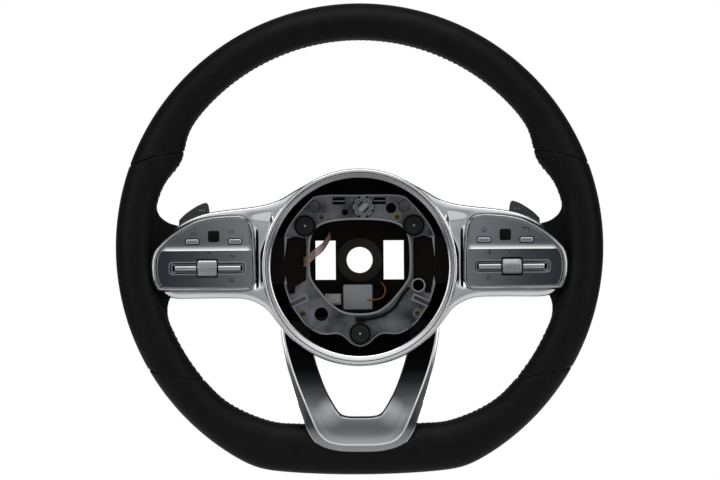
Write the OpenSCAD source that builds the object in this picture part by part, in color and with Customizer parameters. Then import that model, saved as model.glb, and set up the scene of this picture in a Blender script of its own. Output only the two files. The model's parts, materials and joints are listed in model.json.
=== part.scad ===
// Car steering wheel with a flat bottom, a leather-covered rim, two switch pods and an open hub well.
// X runs to the driver's right, Z up, and the driver looks along +Y.
// The origin is where the column bore leaves the back of the hub boss.
// A depth is the distance ahead of that point, towards the driver, so its Y is minus the depth.

/* [Rim] */
// Outer diameter of the rim
rim_d = 370; // [360:1:380]
// Height of the rim's centre above the column axis
rim_rise = 10; // [8:0.5:12]
// Distance from the rim's centre down to the flat bottom
flat_drop = 172.5; // [170:0.5:176]
// Radius of the flat bottom's slight curve
flat_r = 720; // [600:10:1000]
// Width of the rim seen from the front
rim_w = 28.2; // [27:0.2:30]
// Width of the rim along the flat bottom
bottom_w = 38.5; // [36:0.5:40]
// How far the thumb rests swell inwards
thumb_swell = 6.8; // [4:0.2:8]
// Thickness of the rim from front to back
rim_thick = 32; // [30:1:34]
// Depth of the rim's middle plane
rim_mid = 52; // [51:0.5:53]
// Radial width of the metal core inside the rim
core_w = 12; // [10:0.5:13]
// Thickness of that core
core_thick = 12; // [11:0.5:13]

/* [Spokes] */
// Height of the armature's arms at the hub
arm_h = 40; // [34:1:44]
// Height of the arms where they enter the rim
arm_end_h = 26; // [20:1:30]
// Thickness of the arms
arm_thick = 12; // [10:0.5:12]
// Width of the two lower legs
leg_w = 12; // [10:0.5:13]

/* [Hub] */
// Diameter of the column bore
bore_d = 20; // [16:0.5:22]
// Diameter of the steel hub boss
boss_d = 32; // [30:0.5:34]
// Length of the hub boss
boss_len = 17; // [17:0.5:20]
// Drop of the hub well's centre below the column axis
well_drop = 4.9; // [4:0.1:6]
// Diameter of the mouth of the hub well
well_d = 135; // [134:0.5:136]
// Radial width of the satin ring at the mouth
ring_w = 3.8; // [3.4:0.1:3.9]
// Depth of the front of that ring
ring_front = 62; // [61.5:0.5:63]
// Depth of the deck's front face
deck_front = 38; // [37:0.5:39]
// Thickness of the deck
deck_thick = 4; // [3:0.5:5]
// Depth of the front of the centre plate
plate_front = 16; // [14:0.5:17]
// Width of each window in the centre plate
port_w = 15.5; // [12:0.5:17]
// Height of each window in the centre plate
port_h = 30; // [26:0.5:31]
// Wall of the plastic covers
cover_wall = 2.5; // [2:0.1:3]

/* [Pods] */
// Depth of the lower face of the switch panels
panel_front = 65; // [64.8:0.1:65.4]
// Step between the lower and the upper face
panel_step = 1.2; // [0.8:0.1:1.4]
// Thickness of the panels at their upper face
panel_wall = 2; // [1.8:0.1:2.2]
// Width of the bright frame round a panel
frame_w = 2.4; // [2:0.1:2.8]
// Extra width of the frame at its outer end
frame_end = 2.2; // [1:0.1:2.6]
// Width of the small buttons
button_w = 9.8; // [8:0.1:10.5]
// Height of the small buttons
button_h = 3.9; // [3.4:0.1:4]
// Travel of the small buttons
button_travel = 0.7; // [0.4:0.05:0.9]
// Side of the square touch pads
pad_w = 8.2; // [7:0.1:8.6]
// Click travel of the touch pads
pad_travel = 0.4; // [0.2:0.05:0.6]
// Height of the toggle bars
bar_h = 4.3; // [3.8:0.1:4.6]
// Length of the long slot
slot_w = 56.7; // [55:0.1:58]
// Height of the long slot
slot_h = 8.3; // [8:0.1:9]
// Length of the rocker and of the roller
roller_w = 15; // [14:0.1:15.2]
// Diameter of the roller
roller_d = 14.8; // [14:0.1:15]
// Height of the rocker
rocker_h = 11.8; // [11:0.1:12]
// Diameter of the pins of the rocker and the roller
pin_d = 2; // [1.6:0.1:2.2]

/* [Paddles] */
// Height of the paddle's tip above the column axis
paddle_top = 45; // [40:0.5:47]
// Height of the paddle's lower end
paddle_low = -20; // [-26:0.5:-14]
// Thickness of the paddle blades
paddle_thick = 3.5; // [3:0.1:4]
// Distance of the paddle's hinge from the middle
hinge_x = 86; // [85:0.5:88]
// Diameter of the paddle's hinge pin
hinge_d = 4; // [3:0.1:4.5]
// Swing of the paddles in degrees
paddle_swing = 5.5; // [3:0.5:6]

/* [Airbag mounts] */
// Half of the distance between the two upper spring units
mount_x = 41.4; // [41:0.1:42]
// Height of the two upper spring units
mount_z = 26.4; // [26:0.1:27]
// Height of the lower spring unit
mount_low = -55.9; // [-56.5:0.1:-55.5]
// Outer diameter of the sleeves
sleeve_d = 16.6; // [15.6:0.1:17]
// Diameter of the plungers
plunger_d = 13.4; // [12:0.1:13.6]
// Travel of the plungers
horn_travel = 2; // [1:0.1:2.5]

/* [Hidden] */
$fn = 48;
// Clearances: round moving parts, a running fit on a pin, a seat within one body
gap = 0.3;
fit = 0.05;
seat = 0.3;
rim_r = rim_d / 2;
corner_power = 100;
seam_up = 24.4;
seam_low = -34.9;
slant_up = 9;
slant_low = -10.2;
seam_gap = 0.05;
groove = 1;
groove_turn = 0.45;
root_reach = 19.5;
root_half = 7.3;
root_mid = 44.3;
arm_front = 50;
well = [0, -well_drop];
well_r = well_d / 2;
joint_line = 0.3;
bezel_in = well_r + ring_w + joint_line;
bezel_back = 52;
bezel_face = 60;
bezel_lip = 75.3;
deck_back = deck_front - deck_thick;
cover_opening = 40;
panel_high = panel_front - panel_step;
panel_back = panel_high - panel_wall;
housing_back = 52.3;
housing_wall = 1.5;
slot_mid = [out(115.2), -5.2];
button_z = 14.9;
button_out = out(126.4);
button_in = out(94.1);
pad_at = [out(110.2), 18.8];
bar_depth = 3.1;
bar_front = panel_front + 1.4;
bar_pivot = 56;
bar_pin_r = 1.5;
rocker_pivot = 60;
roller_pivot = 61.2;
lug_w = 1.6;
lug_gap = 0.6;
hinge_depth = 22;
arm_back = arm_front - arm_thick;
blade_tip = out(138);
blade_back = arm_back - 5.5 - paddle_thick - (blade_tip - hinge_x) * sin(paddle_swing);
knuckle_r = 4;
knuckle_h = 22;
black = "#1b1b1c";
silver = "#b4b6ba";
chrome = "#d4d6da";
cast_grey = "#77787a";

// A smooth step from 0 at a to 1 at b
function ease(a, b, x) = let (t = min(1, max(0, (x - a) / (b - a)))) t * t * (3 - 2 * t);
// A bell of height 1 and half-width w
function bell(x, w) = exp(-x * x / (2 * w * w));
function mix(a, b, t) = a + (b - a) * t;
// A closed curve through the points p, with n steps from one to the next
function bend(a, b, c, d, t) =
    0.5 * (2 * b + (c - a) * t + (2 * a - 5 * b + 4 * c - d) * t * t + (3 * b - a - 3 * c + d) * t * t * t);
function curve(p, n) = let (m = len(p)) [for (i = [0:m - 1], k = [0:n - 1])
    bend(p[(i + m - 1) % m], p[i], p[(i + 1) % m], p[(i + 2) % m], k / n)];
// An open curve through the points p
function open_curve(p, n) = let (m = len(p)) concat([for (i = [0:m - 2], k = [0:n - 1])
    bend(p[max(0, i - 1)], p[i], p[i + 1], p[min(m - 1, i + 2)], k / n)], [p[m - 1]]);
// The right half of an outline, from its lowest point to its highest, and its mirror image
function both_halves(p) = concat(p, [for (i = [len(p) - 2:-1:1]) [-p[i][0], p[i][1]]]);
function at_depth(p, depth) = [p[0], -depth, p[1]];
// The side spokes' outlines follow the rim's inner edge, and the lower spoke's follow the flat bottom
function out(x) = x + (rim_r - rim_w - 156.8) * ease(80, 150, x);
function low(z) = z - (flat_drop - bottom_w - 134) * ease(-55, -140, z);
function side_spoke(p) = [for (q = p) [out(q[0]), q[1]]];
function low_spoke(p) = [for (q = p) [q[0], low(q[1])]];

// A flat outline in X and Z, given a thickness between two depths
module slab(back, front) {
    translate([0, -back, 0]) rotate([90, 0, 0]) linear_extrude(height = front - back) children();
}
module pair() {
    children();
    mirror([1, 0, 0]) children();
}
module on_side(s) {
    if (s > 0) children();
    else mirror([1, 0, 0]) children();
}
// A round bar along Y between two depths
module peg(x, z, back, front, r) {
    translate([x, -back, z]) rotate([90, 0, 0]) cylinder(r = r, h = front - back);
}
// A round bar along X
module cross_pin(x0, x1, depth, z, r) {
    translate([x0, -depth, z]) rotate([0, 90, 0]) cylinder(r = r, h = x1 - x0);
}
// A box between two X, two depths and two Z
module block(x0, x1, back, front, z0, z1) {
    translate([x0, -front, z0]) cube([x1 - x0, front - back, z1 - z0]);
}
module round_rect(w, h, r) {
    hull() for (i = [-1, 1], j = [-1, 1]) translate([i * (w / 2 - r), j * (h / 2 - r)]) circle(r);
}
// A skin over closed sections of equal length, run round to its start or closed with two caps
module skin(sections, round = false) {
    n = len(sections[0]);
    m = len(sections);
    walls = [for (i = [0:round ? m - 1 : m - 2], j = [0:n - 1])
        let (a = i * n + j, b = i * n + (j + 1) % n, c = (i + 1) % m * n + j, d = (i + 1) % m * n + (j + 1) % n)
        each [[a, b, d], [a, d, c]]];
    caps = round ? [] : [for (j = [1:n - 2])
        each [[0, j + 1, j], [(m - 1) * n, (m - 1) * n + j, (m - 1) * n + j + 1]]];
    polyhedron([for (s = sections) each s], concat(walls, caps));
}

// The rim: its outline and width by the turn t round its centre, 0 at the right and 90 at the top
function rise_of(t) = asin(sin(t));
function flat_reach(t) = let (c = (flat_r - flat_drop) * sin(t))
    c + sqrt(c * c - (flat_r - flat_drop) * (flat_r - flat_drop) + flat_r * flat_r);
function rim_out(t) = rim_r * pow(1 + pow(rim_r / flat_reach(t), corner_power), -1 / corner_power);
function plain_w(a) = rim_w + 2 * ease(0, -25, a) + (bottom_w - rim_w - 2) * ease(-45, -70, a);
function full_w(a) = plain_w(a) + thumb_swell * bell(a - 26, 4.6);
function root(a) = ease(11.5, 6.9, a) * ease(-19, -14.6, a);
function slant(a) = a > seam_up ? slant_up * (90 - a) / (90 - seam_up)
    : a < seam_low ? slant_low * (90 + a) / (90 + seam_low)
    : mix(slant_low, slant_up, (a - seam_low) / (seam_up - seam_low));
// One section: points round it, with the root that reaches towards the hub behind each pod
function rim_section(t, shrink, n) = [for (k = [0:n - 1]) let (
    c = cos(360 * k / n), s = sin(360 * k / n),
    turn = t - sign(cos(t)) * slant(rise_of(t)) / 2 * c,
    a = rise_of(turn), half = full_w(a) / 2, stretch = root_reach * root(a) / half,
    reach = c < 0 ? -c * half * (1 + stretch) : 0,
    bulge = c < 0 ? sqrt(max(0, 1 - pow(reach / half, 2))) : abs(s),
    tongue = c < 0 ? root(a) * root_half * sqrt(1 - pow(-c, 8)) : 0,
    round_y = rim_mid + sign(s) * (rim_thick / 2 - shrink) * bulge,
    flat_y = mix(rim_mid, root_mid, c < 0 ? root(a) : 0) + sign(s) * tongue,
    depth = s > 0 ? max(round_y, flat_y) : s < 0 ? min(round_y, flat_y) : flat_y,
    r = rim_out(turn) - half + (c < 0 ? -reach + shrink * -c : (half - shrink) * c))
    [r * cos(turn), -depth, rim_rise + r * sin(turn)]];
function rim_turns(t0, t1, steps) = concat([[t0 + seam_gap, groove], [t0 + seam_gap + groove_turn, 0]],
    [for (i = [1:steps - 1]) [mix(t0, t1, i / steps), 0]],
    [[t1 - seam_gap - groove_turn, 0], [t1 - seam_gap, groove]]);
module rim_part(t0, t1, steps) {
    difference() {
        skin([for (p = rim_turns(t0, t1, steps)) rim_section(p[0], p[1], 18)]);
        core_ring(0.1);
        arms(0.1);
        legs(0.1);
    }
}
function core_line(shift) = [for (t = [0:4:356]) let (
    r = rim_out(t) - plain_w(rise_of(t)) / 2 + shift) [r * cos(t), rim_rise + r * sin(t)]];
module core_ring(grow) {
    slab(rim_mid - 2 - core_thick / 2 - grow, rim_mid - 2 + core_thick / 2 + grow) difference() {
        polygon(core_line(core_w / 2 + grow));
        polygon(core_line(-core_w / 2 - grow));
    }
}
arm_x0 = bezel_in + 0.9;
arm_line = [[arm_x0, -arm_h / 2], [110, -arm_h / 2 + 2], [rim_r - rim_w / 2, -arm_end_h / 2 - 2],
    [rim_r - rim_w / 2, arm_end_h / 2 - 2], [110, arm_h / 2 - 2], [arm_x0, arm_h / 2]];
module arms(grow) {
    pair() slab(arm_back - grow, arm_front + grow) offset(delta = grow) polygon(arm_line);
}
leg_line = low_spoke([[45.6, -73], [42.6, -85], [36, -105], [27, -128], [24, -140]]);
module strip(p, w) {
    offset(delta = w / 2) polygon(concat([for (q = p) [q[0] - 0.1, q[1]]],
        [for (i = [len(p) - 1:-1:0]) [p[i][0] + 0.1, p[i][1]]]));
}
module legs(grow) {
    pair() slab(arm_front - 11.5 - grow, arm_front + grow) strip(leg_line, leg_w + 2 * grow);
    pair() slab(deck_front - 1 - grow, 46.5 + grow) strip([[45.2, -63], leg_line[0]], leg_w + 2 * grow);
}
// Where the arms and the legs drop to the deck's depth, behind the mouth of the well
module roots() {
    pair() block(50, arm_x0 + 4, deck_back - 1, arm_back + 1, -arm_h / 2 + 2, arm_h / 2 - 2);
    pair() block(tray[0] - 1, well_r, deck_back - 5, deck_back, -arm_h / 2 + 4, arm_h / 2 - 4);
    pair() slab(deck_back - 1, deck_front) strip([[45, -52], [44.8, -53]], leg_w);
}
module rim_top() {
    color(black) rim_part(seam_up, 180 - seam_up, 32);
}
module rim_left_grip() {
    color(black) rim_part(180 - seam_up, 180 - seam_low, 38);
}
module rim_right_grip() {
    color(black) rim_part(seam_low, seam_up, 38);
}
module rim_bottom() {
    color(black) difference() {
        rim_part(180 - seam_low, 360 + seam_low, 32);
        slab(trim_floor, rim_mid + rim_thick) offset(delta = seat)
            polygon(concat([for (p = trim_outer) p], [for (i = [len(trim_inner) - 1:-1:0]) trim_inner[i]]));
    }
}

// The armature: one die casting with the deck, the centre plate, the arms, the legs and the rim's core
deck_line = both_halves([[0, -66], [6.9, -63.4], [12, -58.6], [18, -56], [29.2, -56.3], [40.4, -50.3],
    [48.5, -40], [53.6, -31], [58.2, -15], [59.1, 1.6], [56.8, 19.8], [50, 32], [39.3, 44.1],
    [30.3, 49.5], [0, 49.7]]);
window_line = both_halves([[0, -40.6], [12, -39.1], [21, -33.5], [28, -26], [34.5, -17.7], [37.6, -10.7],
    [38, 5.6], [37, 16.8], [32.5, 24.9], [24, 28.9], [12, 30.5], [0, 30.8]]);
side_line = [[40.8, 16.8], [49, 18.6], [55.2, 17], [57.2, 2], [56.6, -12], [54, -25.5], [49.6, -25], [49.1, -19.8],
    [40.8, -14.9]];
mount_points = [[-mount_x, mount_z], [mount_x, mount_z], [0, mount_low]];
screw_points = [[-28.9, 32.8], [28.9, 32.8], [-43.6, -40.5], [43.6, -40.5]];
plug_at = [3, 40.6];
plug_r = 6.9;
plug_ring = 8.1;
clip_x = 15.6;
clip_z = 45.2;
clip_w = 9.4;
clip_h = 5.4;
tray = [42, -46, 35];
lead_hole = [44.6, -19.3];
lead_hole_r = 4.3;
module deck_flat() {
    difference() {
        polygon(curve(deck_line, 3));
        polygon(curve(window_line, 3));
        pair() polygon(side_line);
        pair() translate([clip_x, clip_z]) square([clip_w, clip_h], center = true);
        translate([-11, 36.5]) circle(2.3);
        translate([24.2, 39.6]) circle(4);
        translate([-29.5, -41]) circle(5.2);
    }
}
module rib_slot(w, h) {
    translate([46.9, -31]) rotate(-25) square([w, h], center = true);
}
module casting() {
    difference() {
        union() {
            slab(deck_back, deck_front) deck_flat();
            slab(deck_front - 1, deck_front + 1.5) difference() {
                offset(delta = 1.5) polygon(curve(window_line, 3));
                polygon(curve(window_line, 3));
            }
            slab(deck_front - 1, deck_front + 1) difference() {
                polygon(curve(deck_line, 3));
                offset(delta = -0.9) polygon(curve(deck_line, 3));
            }
            pair() slab(deck_front - 1, deck_front + 1) rib_slot(15, 5.4);
            pair() peg(36.8, -47.6, deck_front - 1, deck_front + 0.8, 3.8);
            slab(plate_front - 4, plate_front) translate([-tray[0], tray[1]]) square([2 * tray[0], tray[2] - tray[1]]);
            slab(plate_front - 4, deck_back + 1) difference() {
                translate([-tray[0], tray[1]]) square([2 * tray[0], tray[2] - tray[1]]);
                translate([-tray[0] + 3, tray[1] + 3]) square([2 * tray[0] - 6, tray[2] - tray[1] - 6]);
            }
            arms(0);
            legs(0);
            roots();
            core_ring(0);
        }
        peg(0, 0, 0, deck_back, boss_d / 2 + fit);
        pair() block(26.15 - port_w / 2, 26.15 + port_w / 2, 0, plate_front + 2, -port_h / 2, port_h / 2);
        pair() slab(deck_front - 1.6, deck_front + 2) rib_slot(12.6, 3);
        pair() peg(34.3, 41.3, deck_front - 1, deck_front + 2, 4.6);
        peg(plug_at[0], plug_at[1], deck_front - 1.5, deck_front + 2, plug_r + 0.1);
        for (p = screw_points) peg(p[0], p[1], 30, deck_front + 2, 1.3);
        for (p = mount_points) {
            peg(p[0], p[1], deck_front, deck_front + 2, sleeve_d / 2);
            peg(p[0], p[1], 30, deck_front + 1, 2.6);
        }
        slab(deck_back - 1, deck_front + 2) pair() polygon(side_line);
    }
}
module armature() {
    color(cast_grey) difference() {
        union() {
            casting();
            peg(lead_hole[0], lead_hole[1], deck_back - 1, deck_front + 1, lead_hole_r + 1.1);
        }
        peg(lead_hole[0], lead_hole[1], deck_back - 6, deck_front + 2, lead_hole_r);
    }
}
module hub_boss() {
    color("#3a3b3d") difference() {
        union() {
            peg(0, 0, 0, boss_len, boss_d / 2);
            peg(0, 0, plate_front, plate_front + 1, boss_d / 2 + 1.2);
        }
        peg(0, 0, -1, boss_len + 1, bore_d / 2);
    }
}

// The bezel: a ring round the well that flares into both spokes, with a scoop beside each pod
bezel_half = concat([for (a = [-90:11:-35]) well + bezel_lip * [cos(a), sin(a)]],
    side_spoke([[69.8, -37.6], [76.9, -32.5], [84, -29.6], [92, -28.4], [110, -28.1], [130, -27.9], [141, -26.6],
    [147, -21.5], [150, -12], [151, 0], [149, 11], [143.5, 20.5], [134.8, 28.9], [125, 33.6], [114.9, 36.6],
    [101, 38.7], [85.4, 40.4], [74.9, 41.9], [65.5, 44.2], [57.6, 47.7], [50.2, 52.2]]),
    [for (a = [57:11:90]) well + 74.4 * [cos(a), sin(a)]]);
bezel_line = curve(both_halves(bezel_half), 2);
function scoop(x, z) = 7.5 * bell(x - 75.2 - 1.6 * ease(0, -24, z) + 1.2 * ease(10, 30, z),
    2.4 + 1.8 * ease(5, 30, z) - 0.5 * ease(0, -24, z)) * ease(-29, -20, z) * ease(38, 29, z);
rows_in = [0, 1, 2.4, 4, 6, 8.5, 11];
rows_out = [6, 3, 1.2, 0];
function bezel_section(p) = let (
    v = p - well, r = norm(v), u = v / r, long = r - bezel_in, k = min(1, long / 18),
    runs = concat([for (a = rows_in) a * k], [for (b = rows_out) long - b * k]),
    front = [for (i = [len(runs) - 1:-1:0]) let (q = well + u * (bezel_in + runs[i]), e = long - runs[i])
        at_depth(q, bezel_face + 1.4 * bell(runs[i], 2) - 6 * pow(1 - min(1, e / 5), 2)
            - scoop(abs(q[0]), q[1]))])
    concat([at_depth(p, bezel_back)], front, [at_depth(well + u * bezel_in, bezel_back)]);
// The outline of a switch panel on the right side
panel_line = side_spoke([[153.4, -2], [151.6, 6], [147.1, 11.9], [141, 17.6], [132.3, 23.6], [122.7, 28.3], [113.2, 30.8],
    [104, 32], [92.2, 32.4], [86.2, 30.4], [83.2, 25], [81.8, 15], [81, -9.9], [81.9, -16.9], [87.1, -20.2],
    [115, -20.3], [146.2, -20], [150.6, -17.6], [152.8, -12]]);
module panel_flat(grow) {
    offset(delta = grow) polygon(curve(panel_line, 3));
}
module frame_flat() {
    hull() {
        panel_flat(frame_w);
        translate([frame_end, 0]) panel_flat(frame_w);
    }
}
module bezel() {
    color(silver) difference() {
        skin([for (p = bezel_line) bezel_section(p)], true);
        pair() slab(bezel_back - 1, bezel_face + 5) panel_flat(-0.6);
    }
}
module hub_ring() {
    color(silver) translate([0, 0, -well_drop]) rotate([90, 0, 0]) rotate_extrude() polygon([
        [well_r, 47], [well_r + ring_w, 47], [well_r + ring_w, ring_front - 1.6],
        [well_r + ring_w - 0.7, ring_front - 0.5], [well_r + ring_w - 1.7, ring_front],
        [well_r + 1.2, ring_front - 0.1], [well_r + 0.3, ring_front - 0.7], [well_r, ring_front - 1.6]]);
}

// The trim of the lower spoke: an open U with a crease round it
trim_outer = curve_half(low_spoke([[60.2, -52], [59.2, -61], [56, -78], [52.2, -93.4], [47.8, -108], [43, -121.5],
    [37.2, -133.5], [29.5, -141.5], [19, -145], [9, -145.9], [0, -146]]));
trim_inner = curve_half(low_spoke([[38.2, -54], [36.6, -63], [33.9, -76], [30, -88], [25.8, -98.5], [21, -107.5],
    [17.3, -113.5], [14.3, -116.7], [10, -118], [5, -118.3], [0, -118.3]]));
trim_floor = 60;
// From the top of the left leg round the bottom to the top of the right one
function curve_half(p) = let (h = open_curve(p, 2)) concat([for (q = h) [-q[0], q[1]]],
    [for (i = [len(h) - 2:-1:0]) h[i]]);
function trim_section(i) = let (o = trim_outer[i], w = trim_inner[i], z = (o[1] + w[1]) / 2,
    k = ease(-58, low(-126), z), top = 52.5 + 17.3 * k, back = 50.4 + 10 * ease(-66, low(-112), z),
    c = mix(2.2, 6.9, k) / norm(o - w))
    [at_depth(o, back), at_depth(o, top - mix(0.8, 4, k)), at_depth(mix(o, w, c * 0.25), top - mix(0.5, 2.8, k)),
    at_depth(mix(o, w, c), top), at_depth(mix(o, w, mix(c, 1, 0.3)), top - mix(0.5, 1.8, k)),
    at_depth(mix(o, w, mix(c, 1, 0.7)), top - mix(0.8, 2.4, k)), at_depth(mix(w, o, 0.05), top - mix(1.2, 3.6, k)),
    at_depth(w, top - mix(1.6, 6, k)), at_depth(w, back)];
module lower_spoke_trim() {
    color(silver) difference() {
        skin([for (i = [0:len(trim_outer) - 1]) trim_section(i)]);
        peg(0, -well_drop, arm_front - 1, 70, bezel_lip + seat);
    }
}
spoke_back = 34;
cover_top = -53.2;
cover_foot = rim_rise - flat_drop + bottom_w + 0.8;
module lower_spoke_cover() {
    color(black) difference() {
        slab(spoke_back, bezel_back - 2.2) intersection() {
            offset(delta = -0.8)
                polygon(concat([for (p = trim_outer) p], [for (i = [len(trim_inner) - 1:-1:0]) trim_inner[i]]));
            translate([-70, cover_foot]) square([140, cover_top - cover_foot]);
        }
        slab(spoke_back + cover_wall, bezel_back) intersection() {
            offset(delta = -0.8 - cover_wall)
                polygon(concat([for (p = trim_outer) p], [for (i = [len(trim_inner) - 1:-1:0]) trim_inner[i]]));
            translate([-70, cover_foot - 5]) square([140, cover_top - cover_foot + 10]);
        }
        legs(0.2);
        peg(0, -well_drop, 30, arm_front + 3, cover_r + seat);
    }
}

// The rear cover: a bowl behind the hub that reaches behind both arms
cover_r = bezel_in + cover_wall + seat;
cover_back = plate_front - 4 - cover_wall - 0.8;
cover_half = concat([for (a = [-90:10:-30]) well + cover_r * [cos(a), sin(a)]],
    side_spoke([[74, -31.5], [84, -28], [98, -27], [116, -26.5], [128, -24], [134, -15], [135, 0], [133, 13],
    [126, 24], [115, 31], [100, 35.5], [85, 38.2], [73.5, 40.5], [63, 43.6], [55, 48]]),
    [for (a = [50:10:90]) well + cover_r * [cos(a), sin(a)]]);
cover_line = both_halves(cover_half);
cover_steps = [1, 0.78, 0.58, 0.4, 0.2, 0];
function cover_depth(r) = mix(cover_back, arm_back - 3, ease(56, 92, r));
function cover_section(p) = let (
    v = p - well, r = norm(v), u = v / r, inner = cover_opening, edge = well + u * (r - cover_wall))
    concat([at_depth(p, cover_depth(r)), at_depth(p, bezel_back - seat), at_depth(edge, bezel_back - seat)],
    [for (i = [0:len(cover_steps) - 1]) let (q = mix(inner, r - cover_wall, cover_steps[i]))
        at_depth(well + u * q, cover_depth(q) + cover_wall)],
    [for (i = [len(cover_steps) - 1:-1:1]) let (q = mix(inner, r, cover_steps[i]))
        at_depth(well + u * q, cover_depth(q))]);
module rear_cover() {
    color(black) difference() {
        skin([for (p = cover_line) cover_section(p)], true);
        pair() block(out(125), out(140), arm_back - 1, bezel_back, -arm_h / 2, arm_h / 2 + 0.5);
        pair() block(34, 53, deck_back - 1.5, bezel_back, -90, -52);
        pair() block(bracket_x0 - seat, bracket_x1 + seat, 0, 45, -bracket_h / 2 - seat, bracket_h / 2 + seat);
    }
}

// Small pieces of the hub well
module deck_screws() {
    color("#a8842f") for (p = screw_points) {
        peg(p[0], p[1], deck_back, deck_front + 0.5, 1.25);
        difference() {
            peg(p[0], p[1], deck_front, deck_front + 1.8, 2.2);
            peg(p[0], p[1], deck_front + 0.9, deck_front + 2, 1.1, $fn = 6);
        }
    }
}
module ribbed_plug() {
    color("#8d8f92") translate([plug_at[0], 0, plug_at[1]]) {
        slab(deck_front - 1.5, deck_front + 0.2) circle(plug_r);
        slab(deck_front, deck_front + 1.2) difference() {
            circle(plug_ring);
            circle(plug_r - 1.1);
            for (a = [22:45:337]) rotate(a) translate([plug_ring, 0]) square([2.2, 1.8], center = true);
        }
        slab(deck_front - 0.5, deck_front + 0.8) intersection() {
            circle(plug_r - 0.6);
            rotate(45) for (i = [-2:2]) translate([-plug_r, 2.2 * i - 0.45]) square([2 * plug_r, 0.9]);
        }
    }
}
module clip_wires() {
    color("#3c3d3f") for (s = [-1, 1])
        cross_pin(s * clip_x - clip_w / 2, s * clip_x + clip_w / 2, deck_front - 1.5, clip_z, 0.45);
}
module cable_cover(s) {
    color(black) difference() {
        on_side(s) slab(deck_back - 0.7, deck_front - 1.5) offset(delta = -0.2) polygon(side_line);
        peg(lead_hole[0], lead_hole[1], deck_back - 2, deck_front, lead_hole_r + 1.3);
    }
}
module cable_cover_left() {
    cable_cover(-1);
}
module cable_cover_right() {
    cable_cover(1);
}
unit_front = 26;
module control_unit() {
    color(black) {
        block(-14, 11, plate_front, unit_front, -42, -18);
        block(11, 15, plate_front, unit_front - 5, -38, -22);
    }
}
module label_plate() {
    color("#a7abac") translate([-1.6, 0, -28.2]) slab(unit_front, unit_front + 0.2) round_rect(22, 18.8, 1);
}
module connector() {
    color("#c9c9c4") {
        block(-26.6, -14.2, plate_front, 25, -34, -25.7);
        block(-25.4, -15.4, 24, 26.5, -32.6, -27.2);
    }
}
// Wires: a tube along round points, with rings square to the route
function along(p, i) = let (d = p[min(len(p) - 1, i + 1)] - p[max(0, i - 1)]) d / norm(d);
module tube(points, r, n = 8) {
    p = open_curve(points, 2);
    skin([for (i = [0:len(p) - 1]) let (d = along(p, i), side = cross(d, [0.3, 0.1, 0.95]), u = side / norm(side),
        v = cross(u, d)) [for (k = [0:n - 1]) p[i] + r * (cos(360 * k / n) * u + sin(360 * k / n) * v)]]);
}
wire_r = 0.65;
module switch_wires() {
    color("#8c6f69") for (i = [0:3])
        tube([[-42.6, -37.6, 1.5 - 1.9 * i], [-39.3, -41, 3.2 - 1.8 * i], [-34.5, -37.5, 7.8 - 1.8 * i],
            [-28, -29, 12.8 - 1.7 * i], [-22.6, -plate_front - wire_r, 21.2 - 1.6 * i]], wire_r);
}
module orange_lead() {
    color("#a8632a") tube([[5.5, -unit_front - 0.9, -30.2], [11, -27, -30.4], [16.5, -25, -29.3],
        [19.5, -22, -25], [18.8, -20, -20], [16.2, -plate_front - 0.6, -17.2]], 0.6);
}
module horn_lead() {
    y = -deck_front - 1.25;
    color(black) {
        block(-3.4, 4.2, deck_front + 0.05, deck_front + 3, mount_low + sleeve_d / 2 + 0.4, -43.6);
        tube([[3.6, y, -45], [8.5, y, -44.4], [14.5, y, -43.1], [21, y, -40.2], [26.2, y, -36.2], [29.6, y, -31.4],
            [32.4, y, -27.2], [35, y, -23.8], [37.4, y, -21]], 1.2);
    }
}

// The spring units that carry the airbag module and close the horn contact
sleeve_front = deck_front + 8;
module sleeve(p) {
    color("#232527") difference() {
        peg(p[0], p[1], deck_front, sleeve_front, sleeve_d / 2 - 0.05);
        peg(p[0], p[1], deck_front + 1.5, sleeve_front + 1, plunger_d / 2 + gap);
        peg(p[0], p[1], deck_front - 1, sleeve_front, 2.6);
    }
}
module plunger(p) {
    color("#3f4849") {
        peg(p[0], p[1], sleeve_front - 3.5, sleeve_front + horn_travel - 0.5, plunger_d / 2);
        peg(p[0], p[1], sleeve_front + 1, sleeve_front + horn_travel + 0.2, 1.4);
        peg(p[0], p[1], deck_back, sleeve_front - 3, 2.2);
    }
}
module sleeve_left() {
    sleeve(mount_points[0]);
}
module sleeve_right() {
    sleeve(mount_points[1]);
}
module sleeve_lower() {
    sleeve(mount_points[2]);
}
module plunger_left() {
    plunger(mount_points[0]);
}
module plunger_right() {
    plunger(mount_points[1]);
}
module plunger_lower() {
    plunger(mount_points[2]);
}

// The switch pods, drawn on the right side
roller_x0 = slot_mid[0] - roller_w / 2;
roller_x1 = slot_mid[0] + roller_w / 2;
slot_x0 = slot_mid[0] - slot_w / 2;
slot_x1 = slot_mid[0] + slot_w / 2;
bar_gap = 0.9;
bar_in = [slot_x0 + 3.2, roller_x0 - bar_gap];
bar_out = [roller_x1 + bar_gap, slot_x1 - 4];
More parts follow.
